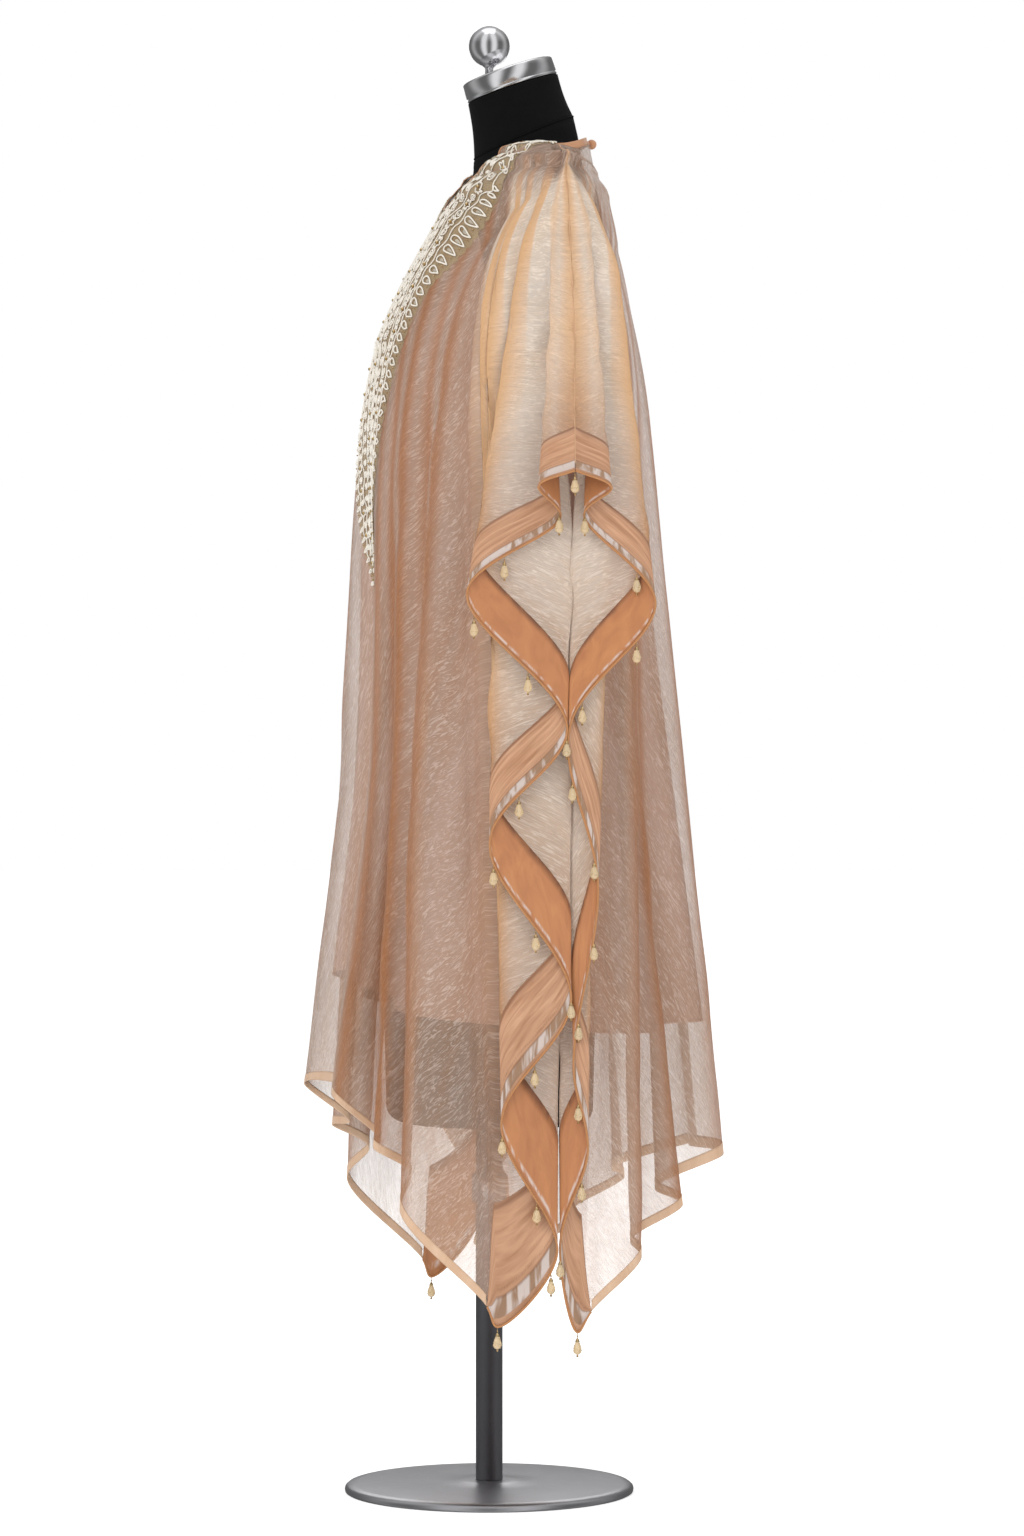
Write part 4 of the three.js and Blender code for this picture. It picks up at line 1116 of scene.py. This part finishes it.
def build_embroidery():
    """Rows of motifs from the scalloped edge inwards: teardrops, a stem, blossoms and scrolls,
    leaves, buds, and a column of blossoms and leaves down the centre."""
    place, out, width = chain(0.92, 13.0, 3.0)
    size = np.clip(width / 11, 3.4, 8.6)
    edge_drops = place_motifs(teardrop(20), place, out, size)
    inner_drops = place_motifs(teardrop(14), place, out, size * 0.5)
    build_stems()

    flower_place, out, width = chain(0.64, 26.0, 14.0, 22.0)
    flowers = place_motifs(blossom(36), flower_place, out, np.clip(width / 11, 4.0, 8.5))
    scrolls = []
    for across, start, least in ((0.64, 27.0, 20.0), (0.35, 9.0, 24.0), (0.35, 22.0, 24.0)):
        place, out, width = chain(across, 26.0, start, least)
        scrolls.append(place_motifs(scroll(34), place, out + alternate(place, -0.9, 0.6),
                                    np.clip(width / 13, 3.6, 7.4)))
    place, out, width = chain(0.14, 12.0, 6.0, 24.0)
    size = np.clip(width / 15, 3.0, 6.4)
    swing = alternate(place, -0.75, 0.75)
    leaves = place_motifs(leaf(20), place, out + swing, size)
    veins = place_motifs(leaf(12), place, out + swing, size * 0.55)
    place, out, width = chain(0.05, 9.0, 4.0, 16.0)
    buds = place_motifs(teardrop(16), place, out + alternate(place, -1.1, 1.1), np.full(len(place), 3.4))
    down = np.arange(134.0, 520.0, 26.0)
    middle = np.stack([np.zeros_like(down), down], axis=1)
    centre_size = np.interp(down, [130, 400, 470, 520], [8.0, 7.0, 5.0, 3.4])
    centres = middle[:, None, :] + blossom(36)[None] * centre_size[:, None, None]
    between = middle[:-1] + np.array([0.0, 13.0])
    centre_leaves = place_motifs(leaf(20), between + np.array([6.0, 0.0]), np.full(len(between), 1.05),
                                 np.interp(between[:, 1], [130, 400, 520], [7.0, 6.0, 3.2]))
    for name, strokes, radius, material, closed in (
            ("edge_teardrops", edge_drops, 0.85, IVORY, True),
            ("blossoms", np.concatenate([flowers, centres]), 0.75, IVORY, True),
            ("scrolls", np.concatenate(scrolls), 0.8, IVORY, False),
            ("leaves", np.concatenate([leaves, centre_leaves]), 0.8, IVORY, True),
            ("buds", buds, 0.6, SILVER, True)):
        cords_on_front(name, strokes, radius, material, closed)
    filling("teardrop_filling", inner_drops, 0.7)
    filling("leaf_filling", veins, 0.8)
    beads_on_front("blossom_beads", np.concatenate([flower_place, middle]), 1.9)
    edge_rows = [chain(0.98, 13.0, 9.5)[0], chain(0.04, 6.0, 3.0)[0]]
    beads_on_front("edge_beads", np.concatenate(edge_rows), 0.85)


build_net()
build_embroidery()


# ---- bead drops along the free edges ----
DROP_SPACING = 78.0


def edge_places(panel, sign, from_crest):
    """Even places along a side edge from the crest to the corner, the corner itself the last."""
    u = np.linspace(panel.middle, FOOT + 1, 700) * sign
    line = panel.surface(u, np.ones_like(u))
    run = distance_along(line)
    count = int(round(run[-1] / DROP_SPACING))
    return read_along(np.linspace(0, run[-1], count + 1)[0 if from_crest else 1:], run, line)


def turned_copies(places, profile, sides, twist=0.0):
    """A turned profile (radius, height) hung below each place; every second ring is twisted by
    half a side where facets are wanted."""
    profile = np.asarray(profile, float)[::-1]
    angle = np.linspace(0, 2 * np.pi, sides + 1)[None] + twist * (np.arange(len(profile)) % 2)[:, None]
    grid = np.stack([profile[:, :1] * np.cos(angle), profile[:, :1] * np.sin(angle),
                     np.broadcast_to(profile[:, 1:], angle.shape)], axis=-1)
    return (places[:, None, None] + grid[None]) * MM


def sphere_profile(radius, centre, steps):
    """Half circle from the top to the bottom of a ball: (r sin a, centre + r cos a)."""
    angle = np.linspace(0, math.pi, steps)
    return [(max(radius * math.sin(a), 0), centre + radius * math.cos(a)) for a in angle]


drop_nodes = {"front": ("drop_front_corner", "drop_crest"), "back": ("drop_back_corner",)}
for label, panel in (("front", front), ("back", back)):
    for hand, sign in (("left", 1), ("right", -1)):
        places = edge_places(panel, sign, label == "front") - np.array([0, 0, 1.0])
        cut = [(0, -6.8), (1.9, -8.0), (3.0, -11.0), (4.3, -15.0), (4.5, -17.2), (3.2, -20.0), (0, -21.6)]
        glass = grids_mesh(f"drops_{label}_{hand}", turned_copies(places, cut, 8, math.pi / 8), smooth=False)
        finish_piece(glass, GLASS, "bead_glass", *[f"{node}_{hand}" for node in drop_nodes[label]])
        parts = ([(0, 1.0), (0.35, 0.8), (0.35, -5.0), (0, -5.2)],
                 [(0, -4.6), (0.9, -5.2), (1.7, -6.4), (2.3, -8.4), (1.9, -8.8), (0, -8.4)],
                 sphere_profile(1.25, -22.6, 6), sphere_profile(0.9, -3.2, 6))
        for k, part in enumerate(parts):
            gold = grids_mesh(f"drop_fittings_{label}_{hand}_{k}", turned_copies(places, part, 8))
            finish_piece(gold, GOLD, "bead_glass")

# ---- button at the back of the neck ----
BUTTON_PLACE = np.array([0.0, 108.0, 1401.0])
dome = sphere_profile(5.2, 0.0, 12)
dome_uv = pairs(np.linspace(0, 0.03, 25)[None], np.linspace(0, 0.02, 12)[:, None])
button = grids_mesh("neck_button_covered", turned_copies(BUTTON_PLACE[None], dome, 24), dome_uv[None])
finish_piece(button, TRIM, "band_satin", "neck_button")

# ---- slip ----
def build_slip(name, table, side, node):
    """Satin slip half: a thin wall clear of the form, with rolled cords at its hem and upper edge."""
    lines = mirror_lines(table.reshape(len(table), 4, 3))
    middle = len(table) - 1
    u, v = np.meshgrid(np.linspace(-middle, middle, 200), np.linspace(0, 1, 110))
    points = lift_off(across_lines(lines, u.ravel() + middle, v.ravel()), SLIP_LIFT).reshape(*u.shape, 3) * MM
    flat = np.stack([u * SLIP_LINE_WIDTH, v * SLIP_LENGTH], axis=-1)
    piece = grids_mesh(name, points[None], flat[None], flip=side < 0)
    add_wall(piece, SLIP_WALL)
    finish_piece(piece, SLIP, "slip_satin", node)
    edges = []
    for label, row in (("top", points[:1]), ("hem", points[-1:])):
        cord = grids_mesh(f"{name}_{label}_cord", tubes(row, SLIP_CORD_RADIUS * MM, 8))
        edges.append(finish_piece(cord, SLIP, "slip_satin"))
    return piece, edges


def build_strap(name, mirror, node):
    """Narrow satin strap: a flat oval of half width 4 and half thickness 0.6 mm carried along its
    path over the shoulder."""
    steps, sides = 60, 17
    at = np.linspace(0, len(STRAP_PATH) - 1, steps)
    points = np.broadcast_to(STRAP_PATH, (steps, *STRAP_PATH.shape)).astype(float)
    path = smooth_path(points, at, ACROSS_EVENNESS)
    path = lift_off(path, STRAP_LIFT) * MM
    across = np.array([1.0, 0, 0])
    normal = unit(np.cross(unit(np.gradient(path, axis=0)), across))
    angle = np.linspace(0, 2 * np.pi, sides)[:, None]
    ring = 4.0 * MM * np.cos(angle) * across + 0.6 * MM * np.sin(angle) * normal[:, None, :]
    grid = path[:, None, :] + ring
    grid = np.concatenate([path[:1, None].repeat(sides, 1), grid, path[-1:, None].repeat(sides, 1)])
    grid[..., 0] *= mirror
    uv = pairs(np.linspace(0, 0.03, sides)[None], np.linspace(0, 0.2, steps + 2)[:, None])
    return finish_piece(grids_mesh(name, grid[None], uv[None], flip=mirror > 0), SLIP, "slip_satin", node)


slip_pieces = {
    "front": build_slip("slip_satin_front", SLIP_FRONT, -1, "slip_front"),
    "back": build_slip("slip_satin_back", SLIP_BACK, 1, "slip_back"),
}
build_strap("strap_left", 1, "slip_strap_left")
build_strap("strap_right", -1, "slip_strap_right")


# ---- dress form ----
def form_ring(z, inset, angle):
    """Superellipse section of the form at heights z, leaning by its tilt."""
    yc, hx, hy, roundness, tilt = [column[:, None] for column in form_section(z)]
    c = np.cos(angle)[None]
    s = np.sin(angle)[None]
    x = (hx - inset[:, None]) * np.sign(c) * np.abs(c) ** (2 / roundness)
    y = (hy - inset[:, None]) * np.sign(s) * np.abs(s) ** (2 / roundness)
    lean = np.radians(tilt)
    return np.stack([x, yc + y * np.cos(lean), z[:, None] + y * np.sin(lean)], axis=-1)


def capped(rings, low, high):
    """Rings closed by a point below and one above, as one grid in metres."""
    ends = [np.broadcast_to(np.asarray(end, float), (1, *rings.shape[1:])) for end in (low, high)]
    return np.concatenate([ends[0], rings, ends[1]])[None] * MM


def build_form():
    """Torso of superellipse rings whose lower edge is rounded by 14 mm, then a neck that runs
    straight from the torso's top ring to the cap's rim, drawn in by 3% half way, and the seam
    cord between them."""
    angle = np.linspace(0, 2 * np.pi, 145)
    turn = np.radians(np.linspace(0, 90, 9))
    heights = np.concatenate([TORSO_BOTTOM + 14 * (1 - np.cos(turn)), np.linspace(405, 1406, 170)])
    inset = np.concatenate([14 * (1 - np.sin(turn)), np.zeros(170)])
    torso = form_ring(heights, inset, angle)
    grid = capped(torso, (0, 0, TORSO_BOTTOM), torso[-1].mean(axis=0))
    uv = pairs(angle[None] * 0.15, np.linspace(0, 1, grid.shape[1])[:, None])
    finish_piece(grids_mesh("form_body", grid, uv[None]), JERSEY, "form_jersey", "form_torso")
    lean = np.radians(FORM_SECTIONS[-1, 5])
    seam = torso[-1] + np.array([0, -math.sin(lean), math.cos(lean)]) * 0.5
    x, y = CAP_RADIUS * np.cos(angle), CAP_RADIUS * np.sin(angle)
    rim = CAP_BASE + np.stack([x, y * math.cos(CAP_TILT), y * math.sin(CAP_TILT)], axis=-1)
    share = np.linspace(0, 1, 24)[:, None, None]
    neck = seam * (1 - share) + rim * share
    centre = neck.mean(axis=1, keepdims=True)
    neck = centre + (neck - centre) * (1 - 0.03 * np.sin(np.pi * share))
    grid = capped(neck, centre[0], centre[-1])
    uv = pairs(angle[None] * 0.06, np.linspace(0, 0.09, grid.shape[1])[:, None])
    finish_piece(grids_mesh("form_neck_sleeve", grid, uv[None]), JERSEY, "form_jersey", "form_neck")
    seam_cord = grids_mesh("form_neck_seam", tubes(seam[None, :-1] * MM, 0.8 * MM, 6, closed=True))
    finish_piece(seam_cord, JERSEY, "form_jersey")


def leaning(points):
    """Turns points about X by the cap's tilt and sets them on the cap's base."""
    y = points[..., 1] * math.cos(CAP_TILT) - points[..., 2] * math.sin(CAP_TILT)
    z = points[..., 1] * math.sin(CAP_TILT) + points[..., 2] * math.cos(CAP_TILT)
    return np.stack([points[..., 0], y, z], axis=-1) + CAP_BASE


def build_hardware():
    """Turned pieces, each a profile of (radius, height): the cap, which leans, then the finial on
    its stem, the pole with its clamp, and the base."""
    top = CAP_HEIGHT
    edge = [(r + CAP_RADIUS - 3, h) for r, h in arc_points(3, top - 3, 0, 90, 8)]
    cap = [(0, 0.3), (CAP_RADIUS - 1.5, 0.3), (CAP_RADIUS, 1.8), (CAP_RADIUS, 3.4), (CAP_RADIUS - 0.6, 3.8),
           (CAP_RADIUS - 0.6, 4.4), (CAP_RADIUS, 4.8), *edge, (18, top + 0.2), (0, top)]
    ball = [(0, 1470.5), (4.2, 1470.5), (4.2, 1477.5), (5.2, 1479), (7.2, 1480.6),
            *arc_points(BALL_RADIUS, BALL_HEIGHT, -68, 89, 40), (0, BALL_HEIGHT + BALL_RADIUS)]
    pole = [(0, 12.4), (POLE_RADIUS, 12.4), (POLE_RADIUS, 300), (POLE_RADIUS + 4, 301),
            (POLE_RADIUS + 4, 330), (POLE_RADIUS, 331), (POLE_RADIUS, TORSO_BOTTOM - 0.4),
            (0, TORSO_BOTTOM - 0.4)]
    base = [(0, 0), (BASE_RADIUS - 2, 0), (BASE_RADIUS - 0.5, 0.8), (BASE_RADIUS, 3),
            (BASE_RADIUS - 0.6, 5.5), (BASE_RADIUS - 3, 7.6), (BASE_RADIUS - 12, 8.6), (60, 10),
            (34, 10.6), (30, 11.4), (24, 12), (0, 12)]
    for name, profile, segments, place, material, slot, node in (
            ("neck_cap_polished", cap, 96, leaning, CHROME, "cap_chrome", "neck_cap"),
            ("finial_ball", ball, 64, None, CHROME, "cap_chrome", "finial"),
            ("stand_pole", pole, 48, None, STEEL, "stand_steel", "pole"),
            ("stand_base", base, 128, None, STEEL, "stand_steel", "base")):
        finish_piece(grids_mesh(name, lathe_grid(profile, segments, place)), material, slot, node)


build_form()
build_hardware()

# ---- floor, light and camera ----
CAMERA_DISTANCE = 5.0
CAMERA_AZIMUTH = math.radians(81)
LOOK_AT = (0.0, 0.024, 0.751)
FRAME_HEIGHT = 1.5974       # metres from the frame's bottom to its top at the look-at point
SENSOR = 36.0


def build_world():
    """Studio round the object: plain white where the camera looks past it, a dome bright overhead
    and dim at the horizon for the light that falls on it, and for polished pieces a grey room with
    a pair of tall bright panels, a fainter pair behind and a bright ceiling."""
    world = bpy.data.worlds.new("studio")
    bpy.context.scene.world = world
    world.use_nodes = True
    tree = world.node_tree
    rays = add_node(tree, "ShaderNodeLightPath").outputs
    place = add_node(tree, "ShaderNodeTexCoord").outputs["Generated"]
    parts = add_node(tree, "ShaderNodeSeparateXYZ", {0: place}).outputs
    soft = add_node(tree, "ShaderNodeMapRange", {"Value": parts["Z"], "From Min": -0.3, "From Max": 0.9,
                                                 "To Min": 0.34, "To Max": 0.92}).outputs[0]
    above = add_node(tree, "ShaderNodeMapRange", {"Value": parts["Z"], "From Min": 0.3,
                                                  "From Max": 0.9}).outputs[0]
    turn = math_node(tree, "ARCTAN2", parts["Y"], parts["X"])
    pair = math_node(tree, "ABSOLUTE", math_node(tree, "ADD", turn, 0.157))
    glossy = scaled_sum(tree, 0.16, (near_line(tree, pair, 0.52, 0.48), 1.0),
                        (near_line(tree, pair, 1.75, 0.5), 0.3), (above, 0.4))
    chosen = add_node(tree, "ShaderNodeMix", {"Factor": rays["Is Glossy Ray"], 2: soft, 3: glossy}).outputs[0]
    seen = add_node(tree, "ShaderNodeMix", {"Factor": rays["Is Camera Ray"], 2: chosen, 3: 1.0}).outputs[0]
    sky = tree.nodes["Background"]
    sky.inputs["Color"].default_value = (1, 1, 1, 1)
    tree.links.new(seen, sky.inputs["Strength"])


def add_light(name, place, size, power, glossy):
    """Square lamp of a size in metres, turned to face the look-at point."""
    data = bpy.data.lights.new(name, "AREA")
    data.size = size
    data.energy = power
    light = bpy.data.objects.new(name, data)
    light.location = place
    light.visible_glossy = glossy
    x, y, z = np.array(LOOK_AT) - np.array(place)
    light.rotation_euler = (math.atan2(math.hypot(x, y), -z), 0, math.atan2(y, x) - math.pi / 2)
    bpy.context.collection.objects.link(light)


def build_stage():
    """Round floor of widening rings, the world and four lamps, two of them seen in reflections."""
    angle = np.linspace(0, 2 * np.pi, 97)
    radius = np.array([0.0, 0.5, 3.0, 30.0])[:, None]
    across = np.broadcast_arrays(radius * np.sin(angle), radius * np.cos(angle), 0.0 * radius)
    disc = np.stack(across, axis=-1)
    floor = grids_mesh("floor", disc[None], flip=True)
    material, *_ = new_material("pale_floor", roughness=0.7, specular_ior_level=0.1,
                                base_color=(0.9, 0.9, 0.9, 1), emission_color=(1, 1, 1, 1),
                                emission_strength=0.45)
    floor.data.materials.append(material)
    floor.visible_glossy = False
    build_world()
    add_light("key", (3.6, -3.4, 3.2), 2.2, 84, False)
    add_light("fill", (3.4, 3.2, 2.0), 2.4, 30, False)
    add_light("top", (0.0, 0.0, 4.4), 2.5, 16, True)
    add_light("rear", (-3.6, 0.4, 2.6), 2.5, 26, True)


def build_camera():
    """Level camera at the look-at point's height, its lens sensor x distance / frame height."""
    data = bpy.data.cameras.new("camera")
    data.sensor_fit = "VERTICAL"
    data.sensor_height = SENSOR
    data.lens = SENSOR * CAMERA_DISTANCE / FRAME_HEIGHT
    camera = bpy.data.objects.new("camera", data)
    toward = np.array([math.sin(CAMERA_AZIMUTH), -math.cos(CAMERA_AZIMUTH), 0.0])
    camera.location = np.array(LOOK_AT) + toward * CAMERA_DISTANCE
    camera.rotation_euler = (math.pi / 2, 0, CAMERA_AZIMUTH)
    bpy.context.collection.objects.link(camera)
    bpy.context.scene.camera = camera


build_stage()
build_camera()
bpy.context.scene.cycles.transparent_max_bounces = 32
bpy.context.scene.view_settings.view_transform = "Standard"
